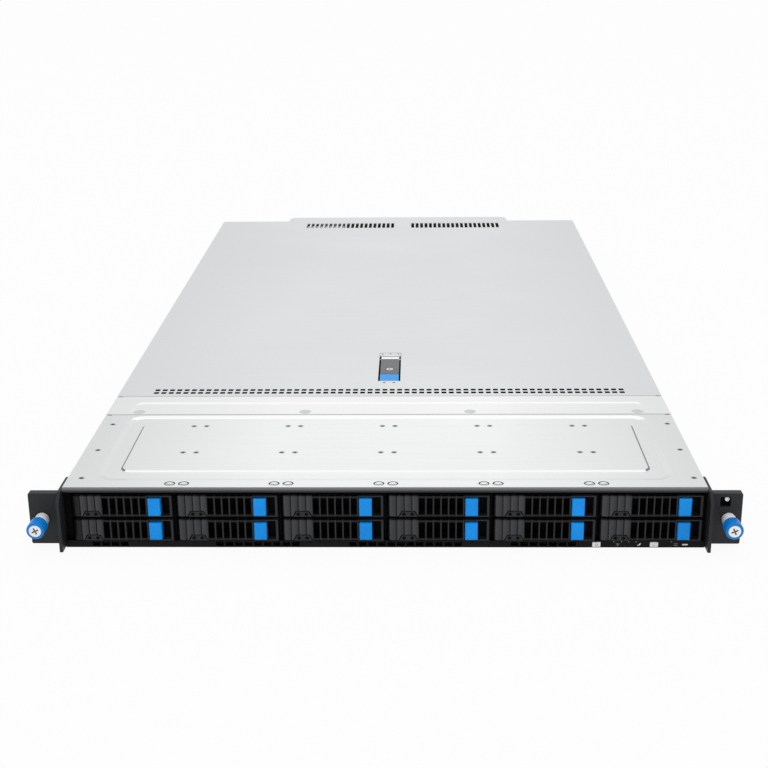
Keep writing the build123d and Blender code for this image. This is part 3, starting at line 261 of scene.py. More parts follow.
world = bpy.data.worlds.new("studio")
world.use_nodes = True
tree = world.node_tree
way = Wire(tree, tree.nodes.new("ShaderNodeTexCoord").outputs["Generated"])
rise, top = way.part(2).between(*RISE), way.part(2).between(*OVERHEAD)
aside = way.part(0).math("ABSOLUTE").between(*ASIDE)
dome_tone = aside.mix(rise.mix(SKY_RIM, SKY_WHITE), rise.mix(SKY_RIM, SKY_SIDE))
mirrored = seen_ray(tree).mix(SKY_FILL, top.mix(dome_tone, SKY_TOP))
straight = Wire(tree, tree.nodes.new("ShaderNodeLightPath").outputs["Is Camera Ray"])
tone = straight.mix(mirrored, SKY_WHITE)
tree.links.new(tone.socket, tree.nodes["Background"].inputs["Color"])
bpy.context.scene.world = world
bpy.context.scene.view_settings.view_transform = "Standard"
print("floor, lamps and sky are set")

# %% [markdown]
# The covers are zinc-coated steel sheet. The coat is pale grey, half shiny, and rolled along the width,
# so it has faint streaks and a fine grain. A photograph of real sheet could be wrapped on, but a few
# noise patterns at the right scale follow every cut edge with no seam.
# Towards the sides of a wide cover the colour is painted darker, as painted shade where the studio's
# light ends.

# %% Zinc sheet
FALL_OFF = (80, 214)
ZINC_BUMP = 0.00001


def axis(place, which):
    """One coordinate of a place on the object, in millimetres."""
    return place.part(which) * 1000.0


def zinc(tone, rough, metal=0.7, shaded_sides=None, marks=None):
    """Rolled zinc coat of a screen tone, with painted shade of another tone towards its left and right
    edges, and marks on it.
    """
    def paint(place):
        streaks = place.noise(60.0, 3.0, (0.2, 5.0, 5.0))
        grain = place.noise(2600.0, 1.0)
        cloud = place.noise(7.0, 2.0)
        shade = (streaks * 0.3 + cloud * 0.5 + grain * 0.2).between(0.3, 0.7)
        dark = srgb(*(v - 5 for v in tone))
        light = srgb(*(min(v + 4, 255) for v in tone))
        worn = grain * 0.08 + streaks * 0.05 + (rough - 0.065)
        colour = shade.mix(dark, light)
        # Painted shade: towards the left and right edges the colour turns to the darker tone.
        if shaded_sides:
            aside = axis(place, 0).math("ABSOLUTE").between(*FALL_OFF)
            colour = aside.mix(colour, srgb(*shaded_sides))
        if marks:
            colour = marks(place, colour)
        return {"Base Color": colour, "Metallic": metal, "Roughness": worn}, grain, ZINC_BUMP
    return paint


# A darker zinc for the panel's steep sides: a painted dark reflection.
zinc_slope_dark_reflection = finish("zinc_slope_dark_reflection", zinc((128, 129, 130), 0.34))
zinc_side = finish("zinc_side", zinc((208, 210, 210), 0.40))
# A darker zinc for the inside of the tub and of the cage: painted shade.
zinc_inside_shade = finish("zinc_inside_shade", zinc((150, 151, 152), 0.45))
# A darker zinc for the fan cover's dimples, as painted shade in their hollows, and for the side rivets.
zinc_spot = finish("zinc_spot", zinc((212, 214, 214), 0.42))
# A slightly darker zinc for the end slopes of the channel: painted shade.
zinc_flank_shade = finish("zinc_flank_shade", zinc((226, 228, 228), 0.34))
# A near-white zinc for slopes that face the front: a painted highlight.
zinc_lit = finish("zinc_lit", zinc((251, 251, 251), 0.34, 0.2))
bright_steel = finish("bright_steel", zinc((232, 232, 233), 0.22, 0.9))
drive_metal = finish("drive_metal", zinc((138, 140, 143), 0.42, 0.8))
sink_metal = finish("sink_metal", zinc((196, 198, 201), 0.34, 0.9))
brass = finish("brass", zinc((205, 170, 96), 0.28, 0.9))
# A pale white that is not metallic, for bright steel parts: a painted highlight.
plated_highlight = finish("plated_highlight", zinc((251, 251, 251), 0.35, 0.0))
print("zinc and bare metals:", zinc_side.name, bright_steel.name, plated_highlight.name)

# %% [markdown]
# The fixed covers carry small pressed rings and weld dimples. On real sheet a ring's rear edge is a
# sheared gap and a weld burns the zinc off. The shade in each gap and the shadow that lies as a dark
# crescent in each ring's bowl are painted, and so is the burnt weld. The solids have the grooves and
# dimples, but their triangles are coarse, so the darkness is painted by distance from each centre.
# The pairs repeat at the pitch of the bays, so one remainder gives every pair the same local place.

# %% Marks on the covers
PAIR_PITCH, PAIR_SHIFT, PAIR_HALF = 71.3, 1.6, 4.75
PAIRS_X = 2.5 * PAIR_PITCH
RING_Y, RING_R = 3.0, 3.25
WELD_ROWS, EDGE_ROWS, EDGE_X = (60.0, 113.2), (12.9, 64.7, 117.3), 210.0
FAN_FRONT, COVER_FRONT = 138.2, 180.6
DOT_X, DOT_Y = 4.0, 214.0
RING_SHADE, WELD_DARK, DOT_DARK = (84, 85, 87), (46, 46, 48), (70, 71, 74)


def reach(across, along):
    """Distance from a centre, from the distances along two axes."""
    return (across * across + along * along).math("SQRT")


def bay_marks(place, colour):
    """Painted shade in the rings' gaps, painted shadow crescents in their bowls, and burnt welds of the
    drive bay cover.
    """
    x, y = axis(place, 0) - PAIR_SHIFT, axis(place, 1)
    local = (x + PAIRS_X).math("MODULO", PAIR_PITCH) - PAIR_PITCH / 2
    across = local.math("ABSOLUTE") - PAIR_HALF
    inside = x.math("ABSOLUTE").between(PAIRS_X, PAIRS_X - 0.5)
    ring = reach(across, y - RING_Y)
    # Painted shade in the sheared gap at each ring's rear edge, and a painted shadow crescent in its
    # bowl.
    line = (ring - RING_R).math("ABSOLUTE").between(0.7, 0.4) * (y - RING_Y).between(-3.4, 0.6)
    bowl = ring.between(2.4, 2.1) * reach(across, y - RING_Y - 1.2).between(2.1, 2.5)
    weld = reach(across, y - WELD_ROWS[0]).math("MINIMUM", reach(across, y - WELD_ROWS[1]))
    edge = x.math("ABSOLUTE") - EDGE_X
    weld = weld + (1 - inside) * 100
    for row in EDGE_ROWS:
        weld = weld.math("MINIMUM", reach(edge, y - row))
    marked = (line.math("MAXIMUM", bowl) * inside).mix(colour, srgb(*RING_SHADE))
    return weld.between(2.6, 0.9).mix(marked, srgb(*WELD_DARK))


def seam_shade_line(front, tone):
    """A darker line painted along the cut front edge of a cover: painted shade in the seam there."""
    def marks(place, colour):
        return axis(place, 1).between(front + 0.9, front + 0.5).mix(colour, srgb(*tone))
    return marks


def latch_dots(place, colour):
    """Painted shade along the cut front edge, and two dark rivets in front of the latch."""
    dot = reach(axis(place, 0).math("ABSOLUTE") - DOT_X, axis(place, 1) - DOT_Y)
    edged = seam_shade_line(COVER_FRONT, (188, 189, 190))(place, colour)
    return dot.between(1.6, 0.8).mix(edged, srgb(*DOT_DARK))


zinc_bay = finish("zinc_bay", zinc((247, 248, 248), 0.30, shaded_sides=(224, 226, 226), marks=bay_marks))
# The cut front edges of the fan cover and the rear cover carry painted shade of their seams.
fan_seam_shade = seam_shade_line(FAN_FRONT, (150, 151, 152))
zinc_fan = finish("zinc_fan", zinc((250, 250, 250), 0.30, shaded_sides=(234, 236, 236), marks=fan_seam_shade))
zinc_cover = finish("zinc_cover", zinc((230, 232, 233), 0.32, shaded_sides=(222, 224, 225),
                                       marks=latch_dots))
print("covers:", zinc_bay.name, zinc_fan.name, zinc_cover.name)

# %% [markdown]
# The ears, the frame and the trays are black. The steel ones are powder coated, with a soft orange-peel
# skin; the trays are moulded plastic with a finer, duller grain. A flat black would look like a hole,
# so each has a grain in its bump and slow changes in its gloss. Dull plastic mirrors less than the
# shader's default, so its specular level comes down.

# %% Black coats and plastics
def grained(tone, rough, scale, depth, spread=0.12, mirror=0.3, marks=None):
    """An opaque coat or moulded plastic with a fine skin, and marks on it."""
    def paint(place):
        skin = place.noise(scale, 2.0)
        cloud = place.noise(24.0, 2.0)
        shade = (skin * 0.6 + cloud * 0.4).between(0.3, 0.7)
        dark = srgb(*(v * 0.88 for v in tone))
        light = srgb(*(min(v * 1.08, 255) for v in tone))
        gloss = (skin - 0.5) * spread + (cloud - 0.5) * spread + rough
        colour = shade.mix(dark, light)
        if marks:
            colour = marks(place, colour)
        inputs = {"Base Color": colour, "Roughness": gloss, "Specular IOR Level": mirror}
        return inputs, skin, depth
    return paint


black_coat = finish("black_coat", grained((33, 34, 36), 0.46, 1100.0, 0.00006))
strip_coat = finish("strip_coat", grained((12, 12, 13), 0.5, 1100.0, 0.00004, mirror=0.12))
tray_plastic = finish("tray_plastic", grained((36, 37, 39), 0.44, 1900.0, 0.00003, mirror=0.25))
# A near-black put in holes, vent walls, pockets and behind the front faces, as painted shade; the
# trays' dark lenses use it too.
recess_shade_black = finish("recess_shade_black", grained((6, 6, 7), 0.6, 1300.0, 0.00003, mirror=0.06))
dark_plastic = finish("dark_plastic", grained((22, 22, 24), 0.50, 1500.0, 0.00003))
blue_plastic = finish("blue_plastic", grained((12, 148, 242), 0.40, 1700.0, 0.00002, 0.06, 0.2))
knob_blue = finish("knob_blue", grained((6, 126, 212), 0.36, 1700.0, 0.00002, 0.06, 0.2))
tab_blue = finish("tab_blue", grained((46, 160, 246), 0.40, 1700.0, 0.00002, 0.06, 0.2))
latch_grey = finish("latch_grey", grained((104, 105, 107), 0.42, 1500.0, 0.00002))
white_plastic = finish("white_plastic", grained((236, 236, 234), 0.40, 1500.0, 0.00001, 0.05))
mark_grey = finish("mark_grey", grained((120, 122, 124), 0.5, 1500.0, 0.00001, 0.05))
circuit_board = finish("circuit_board", grained((24, 74, 52), 0.40, 700.0, 0.00002))
light_green = finish("light_green", grained((96, 168, 92), 0.35, 1500.0, 0.00001, 0.05))
light_amber = finish("light_amber", grained((214, 160, 60), 0.35, 1500.0, 0.00001, 0.05))
print("coats:", black_coat.name, tray_plastic.name, recess_shade_black.name, blue_plastic.name)

# %% [markdown]
# A tray's lever has three raised panels with deep grooves between them, then a lattice of thin bars.
# Each panel gets a painted highlight at its left and painted shade in the grooves, the lattice is
# painted darker as shade with a thin painted highlight on each bar, and the noses of the two leftmost
# levers get a painted shadow. The trays repeat along the front, so a remainder again gives each lever
# its own local place. The brow above the trays turns up to the sky at its upper edge, so that edge gets
# a painted highlight and is lighter than its face.

# %% Levers and brow
BAY_PITCH, FIRST_X, ROWS_Z = 71.7, -212.6, (23.0, 5.3)
RIB_FIRST, RIB_PITCH = 6.4, 5.15
LATTICE_X, LATTICE_PITCH, NOSE_X = 21.5, 5.117, -206.6
PANEL_HIGHLIGHT, GROOVE_SHADE, NOSE_SHADOW = (66, 67, 70), (10, 10, 11), (9, 9, 10)
BAR_SHADE, BAR_HIGHLIGHT, BROW_HIGHLIGHT = (11, 11, 12), (44, 45, 47), (116, 118, 120)


def lever_marks(place, colour):
    """Painted highlights and shade on the levers' panels, grooves and lattice bars, and painted shadow
    on the leftmost noses.
    """
    x = axis(place, 0)
    local = (x + (BAY_PITCH - FIRST_X)).math("MODULO", BAY_PITCH)
    panel = (local + (RIB_PITCH - RIB_FIRST)).math("MODULO", RIB_PITCH)
    # Painted highlight on the left of each panel, and painted shade in the grooves and on the lattice.
    highlighted = panel.between(4.6, 0.4).mix(colour, srgb(*PANEL_HIGHLIGHT))
    right_wall = panel.between(RIB_PITCH - 0.45, RIB_PITCH - 0.35)
    grooves = panel.between(0.45, 0.35).math("MAXIMUM", right_wall)
    ribbed = grooves.mix(highlighted, srgb(*GROOVE_SHADE))
    step = (local - LATTICE_X).math("MODULO", LATTICE_PITCH)
    bars = step.between(LATTICE_PITCH - 0.65, LATTICE_PITCH - 0.5)
    lattice = bars.mix(srgb(*BAR_SHADE), srgb(*BAR_HIGHLIGHT))
    plain = local.between(LATTICE_X - 0.6, LATTICE_X - 0.4).mix(ribbed, lattice)
    # Painted shadow on the noses of the two leftmost levers.
    return x.between(NOSE_X + 1.0, NOSE_X).mix(plain, srgb(*NOSE_SHADOW))


def brow_marks(place, colour):
    """A painted highlight along the upper edge."""
    return axis(place, 2).between(41.6, 43.2).mix(colour, srgb(*BROW_HIGHLIGHT))


lever_plastic = finish("lever_plastic", grained((46, 47, 49), 0.44, 1900.0, 0.00003, mirror=0.25,
                                                marks=lever_marks))
brow_coat = finish("brow_coat", grained((26, 27, 28), 0.42, 1100.0, 0.00005, marks=brow_marks))
print("levers and brow:", lever_plastic.name, brow_coat.name)

# %% [markdown]
# A node of several solids needs more than one finish, such as the steel screw inside a blue knob.
# The solids could be split into more objects, but a node stays whole so that it keeps its body.
# Instead each triangle takes the finish of the place that its middle lies in.

# %% Finishes by place
def coat(node, base, *choices):
    """Give a node a base finish, and others by tests on a triangle's middle, in mm, and its normal."""
    mesh = frame["nodes"][node].data
    mesh.materials.clear()
    for material in (base, *(choice[0] for choice in choices)):
        mesh.materials.append(material)
    for face in mesh.polygons:
        middle = face.center / MM
        for index, (_, place_test, *normal_tests) in enumerate(choices, start=1):
            if place_test(*middle) and all(test(face.normal) for test in normal_tests):
                face.material_index = index


def within(value, limits):
    """Whether a value lies between two limits."""
    return limits[0] < value < limits[1]


def near(x, y, places, radius):
    """Whether a point lies within a radius of one of the places."""
    return any(math.hypot(x - px, y - py) < radius for px, py in places)


print("finishes go on by place")

# %% [markdown]
# The drive cover's raised panel has short steep sides. They mirror what lies low beside the server, not
# the bright sky, so a photograph draws them as thin dark lines, and they get a darker zinc, a painted
# reflection. The slopes at the two ends of its channel get a slightly darker zinc, as painted shade.
# The slopes of the pressings that face the front catch the light, and get a brighter zinc, a painted
# highlight. The sheared walls of the front vents are painted near-black as painted shade, because the
# deep fan wall below them lets no light back, and so are the walls of the latch's pocket.

# %% Covers and tub
SPOTS = [(x, 146.0) for x in (-193.6, -64.1, 64.1, 193.6)]
SPOT_R, SPOT_LOW = 4.6, 42.0
PANEL_X, CHANNEL_X, PRESSED_Z = 190.0, 204.0, 43.58
PANEL_Y, PANEL_FRONT, CHANNEL_REAR, FIELD_REAR = (24, 122), (24, 28), (128, 137), (162, 168)
FRONT_VENTS, VENT_WALL = (188.0, 201.5), (42.7, 43.5)
POCKET_X, POCKET_Y, POCKET_Z = 9.5, (217, 295), (37, 43.5)
SIDE_WALL, REAR_WALL, UNDERSIDE = 218.0, 836.2, 0.0
HAIR = 0.1


def panel_side(x, y, z):
    """Whether a place is on the slopes round the drive cover's raised panel."""
    return abs(x) < PANEL_X and within(y, PANEL_Y) and z < PRESSED_Z


def channel_side(x, y, z):
    """Whether a place is on the slopes at the two ends of the drive cover's channel."""
    return PANEL_X < abs(x) < CHANNEL_X and z < PRESSED_Z


def channel_front(x, y, z):
    """Whether a place is on the panel's front slope or on the channel's rear one."""
    return abs(x) < CHANNEL_X and (within(y, PANEL_FRONT) or within(y, CHANNEL_REAR))


def front_slope(n):
    """Whether a face of a pressing leans towards the front."""
    return n.y < -0.1 and n.z > 0.3 and abs(n.x) < 0.3


def in_pocket(x, y, z):
    """Whether a place is on the walls of the latch's pocket."""
    return abs(x) < POCKET_X and within(y, POCKET_Y) and within(z, POCKET_Z)


def tub_outside(x, y, z):
    """Whether a place is on the outside of the tub."""
    return abs(x) > SIDE_WALL - HAIR or z < UNDERSIDE + HAIR / 2 or y > REAR_WALL - HAIR


coat("drive_bay_cover", zinc_bay,
     (zinc_slope_dark_reflection, panel_side, lambda n: abs(n.x) > 0.3),
     (zinc_flank_shade, channel_side, lambda n: 0.1 < abs(n.x) < 0.9),
     (zinc_lit, channel_front, front_slope))
# The fan cover's dimples get a darker zinc, as painted shade in their hollows; its slopes that face the
# front get a painted highlight.
coat("fan_bay_cover", zinc_fan,
     (zinc_spot, lambda x, y, z: z > SPOT_LOW and near(x, y, SPOTS, SPOT_R)),
     (zinc_lit, lambda x, y, z: within(y, FIELD_REAR), front_slope))
# The walls of the front vents and of the latch's pocket are painted near-black, as painted shade.
coat("rear_cover", zinc_cover,
     (recess_shade_black, lambda x, y, z: within(z, VENT_WALL) and within(y, FRONT_VENTS)),
     (recess_shade_black, in_pocket))
# The tub's inside is painted a darker zinc than its outside, as painted shade.
coat("chassis_tub", zinc_inside_shade, (zinc_side, tub_outside))
print("covers and tub are coated")

# %% [markdown]
# At the front, what lies behind the trays' faces is painted nearly black, as painted shade, so that
# only the faces and their thin lattices show. The ears and the flange plates are powder coated, the
# brow above the trays is a little glossier, and everything a hand works is blue.

# %% Front
SCREW_X, SCREW_Z, HEAD_R = 232.55, 21.4, 4.22
TAB_END, TAB_SEAM, BAR_FRONT = 236.35, (236.35, 237.05), 277.4
LOCK_AT, LOCK_R = (0, 249.3), 3.0
FERRULE_Y, KNOB_REAR = (-16.05, -6.0), -15.9
TRAYS = [(FIRST_X + column * BAY_PITCH, row) for row in ROWS_Z for column in range(6)]

# The groove between the latch's blue tab and its grey plate is painted near-black, as painted shade.
coat("cover_latch", latch_grey, (tab_blue, lambda x, y, z: y < TAB_END),
     (recess_shade_black, lambda x, y, z: within(y, TAB_SEAM)),
     (bright_steel, lambda x, y, z: y > BAR_FRONT or near(x, y, [LOCK_AT], LOCK_R + 0.02)))
coat("rack_ears", black_coat)
# The ferrule behind each knob is a pale white that is not metallic: a painted highlight on its steel.
for side, name in ((-1, "thumbscrew_left"), (1, "thumbscrew_right")):
    head = [(side * SCREW_X, SCREW_Z)]
    coat(name, bright_steel, (plated_highlight, lambda x, y, z: within(y, FERRULE_Y)),
         (knob_blue, lambda x, y, z, head=head: y < KNOB_REAR and not near(x, z, head, HEAD_R)))
# The cage is painted near-black behind the trays and inside the slots of the strip, as painted shade.
coat("drive_cage", zinc_inside_shade, (strip_coat, lambda x, y, z: y < -1.15),
     (brow_coat, lambda x, y, z: y < -2.5 and z > 40.95),
     (recess_shade_black, lambda x, y, z: -2.6 < y < 3 and 4.95 < z < 41),
     (recess_shade_black, lambda x, y, z: -5.45 < y < 0.5 and 0.9 < z < 4.3))
coat("drive_backplane", circuit_board, (dark_plastic, lambda x, y, z: y < 113.7))
for node in ("power_button", "locate_button"):
    coat(node, white_plastic)
# Each tray and lever is painted near-black behind its face, as painted shade.
for number, (_, low) in enumerate(TRAYS, start=1):
    coat(f"drive_tray_{number:02d}", tray_plastic, (recess_shade_black, lambda x, y, z: y > -0.7),
         (drive_metal, lambda x, y, z, low=low: y > 15 and z > low + 1.3))
    coat(f"tray_lever_{number:02d}", lever_plastic, (recess_shade_black, lambda x, y, z: y > -2.95))
    coat(f"tray_button_{number:02d}", blue_plastic)
print("front is coated, with", len(TRAYS), "trays")

# %% [markdown]
# Inside and at the rear each socket is a bright shell with a dark inside, and each power supply has a
# dark inlet with three brass pins, a blue release leaf, and behind its guard a recess painted
# near-black, which stands for its dark fan and painted shade round it.

# %% Inside and rear
PORT_FACE, BOARD_TOP = 837.7, 7.6
NET_X, SERIAL_X = (-40.0, -23.5, -7.0), (22.0, 40.0)
INLETS = {"psu_left": -158.25, "psu_right": -82.75}


def socket_inside(centres, half, depth, height):
    """A test for the inside of sockets at these centres."""
    def test(x, y, z):
        held = any(abs(x - centre) < half for centre in centres)
        return held and within(y, depth) and within(z, height)
    return test


coat("fan_frames", dark_plastic)
for number in range(1, 7):
    coat(f"fan_rotor_{number}", dark_plastic)
coat("motherboard", circuit_board,
     (bright_steel, lambda x, y, z: y > 812 and z > BOARD_TOP + 0.05),
     (dark_plastic, lambda x, y, z: z > BOARD_TOP + 0.05 and (y < 500 or x > 87.7)),
     (dark_plastic, socket_inside(NET_X, 6.1, (824, 837.5), (9.8, 18.6))),
     (dark_plastic, socket_inside(SERIAL_X, 6.2, (828, 837.5), (8.7, 13.7))))
coat("cpu_heatsinks", sink_metal)
coat("memory_banks", dark_plastic, (circuit_board, lambda x, y, z: z > 13.2))
# The recess behind each supply's fan guard is painted near-black: a dark fan and painted shade.
for name, inlet in INLETS.items():
    pins = [(inlet - 7, 21), (inlet, 27), (inlet + 7, 21)]
    fan = [(inlet - 37, 21)]
    coat(name, zinc_side, (dark_plastic, lambda x, y, z: y > PORT_FACE + 0.05),
         (blue_plastic, lambda x, y, z, i=inlet: y > PORT_FACE + 0.05 and x > i + 14.2),
         (dark_plastic, socket_inside([inlet], 14, (823, 839), (13.9, 34.1))),
         (recess_shade_black, lambda x, y, z, fan=fan: 831 < y < 837.6 and near(x, z, fan, 16.1)),
         (brass, lambda x, y, z, pins=pins: 823.95 < y < 836 and near(x, z, pins, 2.3)))
print("finishes are on", len(frame["nodes"]), "nodes")

# %% [markdown]
# No moulded or coated edge is knife sharp: a narrow round runs along it and catches the light, and that
# bright thread is how the eye tells plastic from paper. The solids keep sharp edges, so the pieces that
# a viewer sees close up get a softened copy. A Bevel modifier could do it, but a copy is cleaner: its
# loose triangles are merged, flat ones are joined again, and only the sharp edges are rounded.

# %% Softened copies
MERGE, FLAT, SHARP = 0.002, math.radians(1), math.radians(30)
SMALL_ROUNDS = {"rack_ears": 0.4, "power_button": 0.3, "locate_button": 0.3, "psu_left": 0.3,
                "psu_right": 0.3}
TAB_REAR = 236.29


def soften(shape, radius):
    """Round the sharp edges of a mesh of triangles."""
    bmesh.ops.remove_doubles(shape, verts=shape.verts, dist=MERGE * MM)
    bmesh.ops.dissolve_limit(shape, angle_limit=FLAT, use_dissolve_boundaries=False,
                             verts=shape.verts, edges=shape.edges, delimit={"MATERIAL"})
    sharp = [e for e in shape.edges if len(e.link_faces) == 2 and e.calc_face_angle() > SHARP]
    bmesh.ops.bevel(shape, geom=sharp, offset=radius * MM, offset_type="OFFSET", segments=2,
                    profile=0.5, affect="EDGES", clamp_overlap=True, material=-1)


def softened(node, radius, *solids):
    """Let a softened copy stand for a node; each test in solids picks one of the solids that touch."""
    source = frame["nodes"][node]
    whole = bmesh.new()
    for solid in solids or (lambda middle: True,):
        shape = bmesh.new()
        shape.from_mesh(source.data)
        others = [f for f in shape.faces if not solid(f.calc_center_median() / MM)]
        bmesh.ops.delete(shape, geom=others, context="FACES")
        soften(shape, radius)
        part = bpy.data.meshes.new("part")
        shape.to_mesh(part)
        shape.free()
        whole.from_mesh(part)
        bpy.data.meshes.remove(part)
    mesh = bpy.data.meshes.new(f"{node}_soft")
    for material in source.data.materials:
        mesh.materials.append(material)
    whole.to_mesh(mesh)
    whole.free()
    piece = bpy.data.objects.new(f"{node}_soft", mesh)
    bpy.context.scene.collection.objects.link(piece)
    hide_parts(node)
    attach(piece, source["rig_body"])
    return len(mesh.polygons)


faces = 0
for number in range(1, 13):
    faces += softened(f"tray_lever_{number:02d}", 0.25)
    faces += softened(f"tray_button_{number:02d}", 0.35)
    faces += softened(f"drive_tray_{number:02d}", 0.2)
for node, radius in SMALL_ROUNDS.items():
    faces += softened(node, radius)
faces += softened("cover_latch", 0.3, lambda m: m.y < TAB_REAR,
                  lambda m: m.y > TAB_REAR and not near(m.x, m.y, [LOCK_AT], LOCK_R - 0.02),
                  lambda m: near(m.x, m.y, [LOCK_AT], LOCK_R - 0.02))
print("softened copies have", faces, "faces")

# %% [markdown]
# New fittings below are all made the same way: a bmesh is shaped with its operators in millimetres,
# scaled to metres, and put on a body of the machine so that it moves with it. An extrusion numbers its
# new faces by chance, so they are sorted by place first, and every run writes the same mesh.

# %% Putting a fitting in place
def number_by_place(shape):
    """Order a shape's points by where they lie, and its faces by their points."""
    for index, vert in enumerate(sorted(shape.verts, key=lambda v: v.co[:])):
        vert.index = index
    shape.verts.sort()
    faces = sorted(shape.faces, key=lambda f: sorted(v.index for v in f.verts))
    for index, face in enumerate(faces):
        face.index = index
    shape.faces.sort()


def fit(name, shape, materials, body):
    """Make a shape in millimetres a piece on a body; its faces choose among the materials."""
    bmesh.ops.recalc_face_normals(shape, faces=shape.faces)
    number_by_place(shape)
    bmesh.ops.scale(shape, vec=(MM, MM, MM), verts=shape.verts)
    mesh = bpy.data.meshes.new(name)
    shape.to_mesh(mesh)
    shape.free()
    for material in materials if isinstance(materials, tuple) else (materials,):
        mesh.materials.append(material)
    piece = bpy.data.objects.new(name, mesh)
    bpy.context.scene.collection.objects.link(piece)
    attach(piece, body)


def turn_about(axis_name, degrees):
    """A turn about an axis, as a matrix."""
    return Matrix.Rotation(math.radians(degrees), 3, axis_name)


def upright(shape, verts, x, y, z, front=True):
    """Turn verts made flat on the floor to face the front or the rear, and move them to a place."""
    turns = [turn_about("X", 90)]
    if not front:
        turns.append(turn_about("Z", 180))
    for turn in turns:
        bmesh.ops.rotate(shape, verts=verts, cent=(0, 0, 0), matrix=turn)
    bmesh.ops.translate(shape, verts=verts, vec=(x, y, z))


# %% [markdown]
# Each thumbscrew ends in a bright steel head with a cross slot, and the latch has a small one as its
# lock. The head is a disc. Eight cuts part it into cells, and the cells of the cross are sunk together,
# which gives the slot straight walls and a floor. The walls and floor take a grey, as painted shade in
# the slot.

# %% Cross slots
def cross_disc(shape, radius, thickness, arm_w, arm_l, sink):
    """A round head on the floor plane, its top at height 0, with a sunk cross; returns its verts."""
    made = bmesh.ops.create_circle(shape, cap_ends=True, radius=radius, segments=36)
    top = list({f for v in made["verts"] for f in v.link_faces})
    for across in (Vector((1, 0, 0)), Vector((0, 1, 0))):
        for at in (-arm_l / 2, -arm_w / 2, arm_w / 2, arm_l / 2):
            edges = list({e for f in top for e in f.edges})
            corners = list({v for f in top for v in f.verts})
            cut = bmesh.ops.bisect_plane(shape, geom=top + edges + corners, plane_co=across * at,
                                         plane_no=across)
            top = [part for part in cut["geom"] if isinstance(part, bmesh.types.BMFace)]
    rim = [e for f in top for e in f.edges if len(e.link_faces) == 1]
    walls = bmesh.ops.extrude_edge_only(shape, edges=rim)["geom"]
    lowered = [part for part in walls if isinstance(part, bmesh.types.BMVert)]
    bmesh.ops.translate(shape, verts=lowered, vec=(0, 0, -thickness))
    cells = []
    for face in top:
        middle = face.calc_center_median()
        near_side, far_side = sorted((abs(middle.x), abs(middle.y)))
        if near_side < arm_w / 2 and far_side < arm_l / 2:
            cells.append(face)
    sunk = bmesh.ops.extrude_face_region(shape, geom=cells)["geom"]
    floor_verts = [part for part in sunk if isinstance(part, bmesh.types.BMVert)]
    bmesh.ops.translate(shape, verts=floor_verts, vec=(0, 0, -sink))
    # The slot's walls and floor take the second material, a grey that is painted shade.
    for face in {f for v in floor_verts for f in v.link_faces}:
        face.material_index = 1
    bmesh.ops.delete(shape, geom=[f for f in cells if f.is_valid], context="FACES_ONLY")
    return list(shape.verts)


HEAD_FACE, CROSS_TURN, LOCK_TOP = -25.95, 24, 43.52
for side, body in ((-1, "thumbscrew_left"), (1, "thumbscrew_right")):
    shape = bmesh.new()
    verts = cross_disc(shape, 4.15, 0.5, 1.1, 4.8, 0.45)
    bmesh.ops.rotate(shape, verts=verts, cent=(0, 0, 0), matrix=turn_about("Z", CROSS_TURN))
    upright(shape, verts, side * SCREW_X, HEAD_FACE, SCREW_Z)
    fit(f"{body}_head", shape, (bright_steel, latch_grey), body)
shape = bmesh.new()
verts = cross_disc(shape, 2.85, 0.2, 0.8, 3.2, 0.17)
bmesh.ops.translate(shape, verts=verts, vec=(*LOCK_AT, LOCK_TOP))
fit("latch_lock_head", shape, (bright_steel, latch_grey), "latch")
print("three cross-slot heads")

# %% [markdown]
# The latch turns on a bright bar, painted pale white as a painted highlight, and behind it a small
# plate with three screws closes the pocket. The plate is a rounded slab; each screw is a small disc on
# its top, with its middle pushed down a little.

# %% Plate behind the latch
PLATE_X, PLATE_Y, PLATE_Z = 9.1, (285.6, 293.8), (42.0, 43.56)
PLATE_SCREWS = ((-6.9, 289.9), (0.0, 291.2), (6.9, 290.6))
BAR_X, BAR_Y, BAR_Z = (-7.7, 7.7), (277.5, 283.0), (42.8, 43.52)


def slab(shape, x, y, z, edge):
    """A block between two limits on each axis, with softened edges."""
    size = [b - a for a, b in (x, y, z)]
    middle = [(a + b) / 2 for a, b in (x, y, z)]
    made = bmesh.ops.create_cube(shape, size=1.0)["verts"]
    bmesh.ops.scale(shape, vec=size, verts=made)
    bmesh.ops.translate(shape, vec=middle, verts=made)
    edges = list({e for v in made for e in v.link_edges})
    bmesh.ops.bevel(shape, geom=edges, offset=edge, offset_type="OFFSET", segments=2, profile=0.5,
                    affect="EDGES", clamp_overlap=True, material=-1)


def sunk_head(shape, x, y, z, radius, depth):
    """A small round screw head with a lowered middle, lying flat."""
    made = bmesh.ops.create_circle(shape, cap_ends=True, radius=radius, segments=16)["verts"]
    face = list({f for v in made for f in v.link_faces})
    inner = bmesh.ops.inset_individual(shape, faces=face, thickness=radius * 0.35)
    low = list({v for f in face for v in f.verts})
    bmesh.ops.translate(shape, verts=low, vec=(0, 0, -depth))
    whole = list({v for f in inner["faces"] for v in f.verts} | set(low))
    bmesh.ops.translate(shape, verts=whole, vec=(x, y, z))


shape = bmesh.new()
slab(shape, (-PLATE_X, PLATE_X), PLATE_Y, PLATE_Z, 0.25)
fit("latch_rear_plate", shape, zinc_cover, "cover")
shape = bmesh.new()
for x, y in PLATE_SCREWS:
    sunk_head(shape, x, y, PLATE_Z[1] + 0.03, 0.9, 0.02)
fit("latch_rear_screws", shape, dark_plastic, "cover")
shape = bmesh.new()
slab(shape, BAR_X, BAR_Y, BAR_Z, 0.3)
fit("latch_hinge_bar", shape, plated_highlight, "latch")
print("hinge bar, plate and screws of the latch")

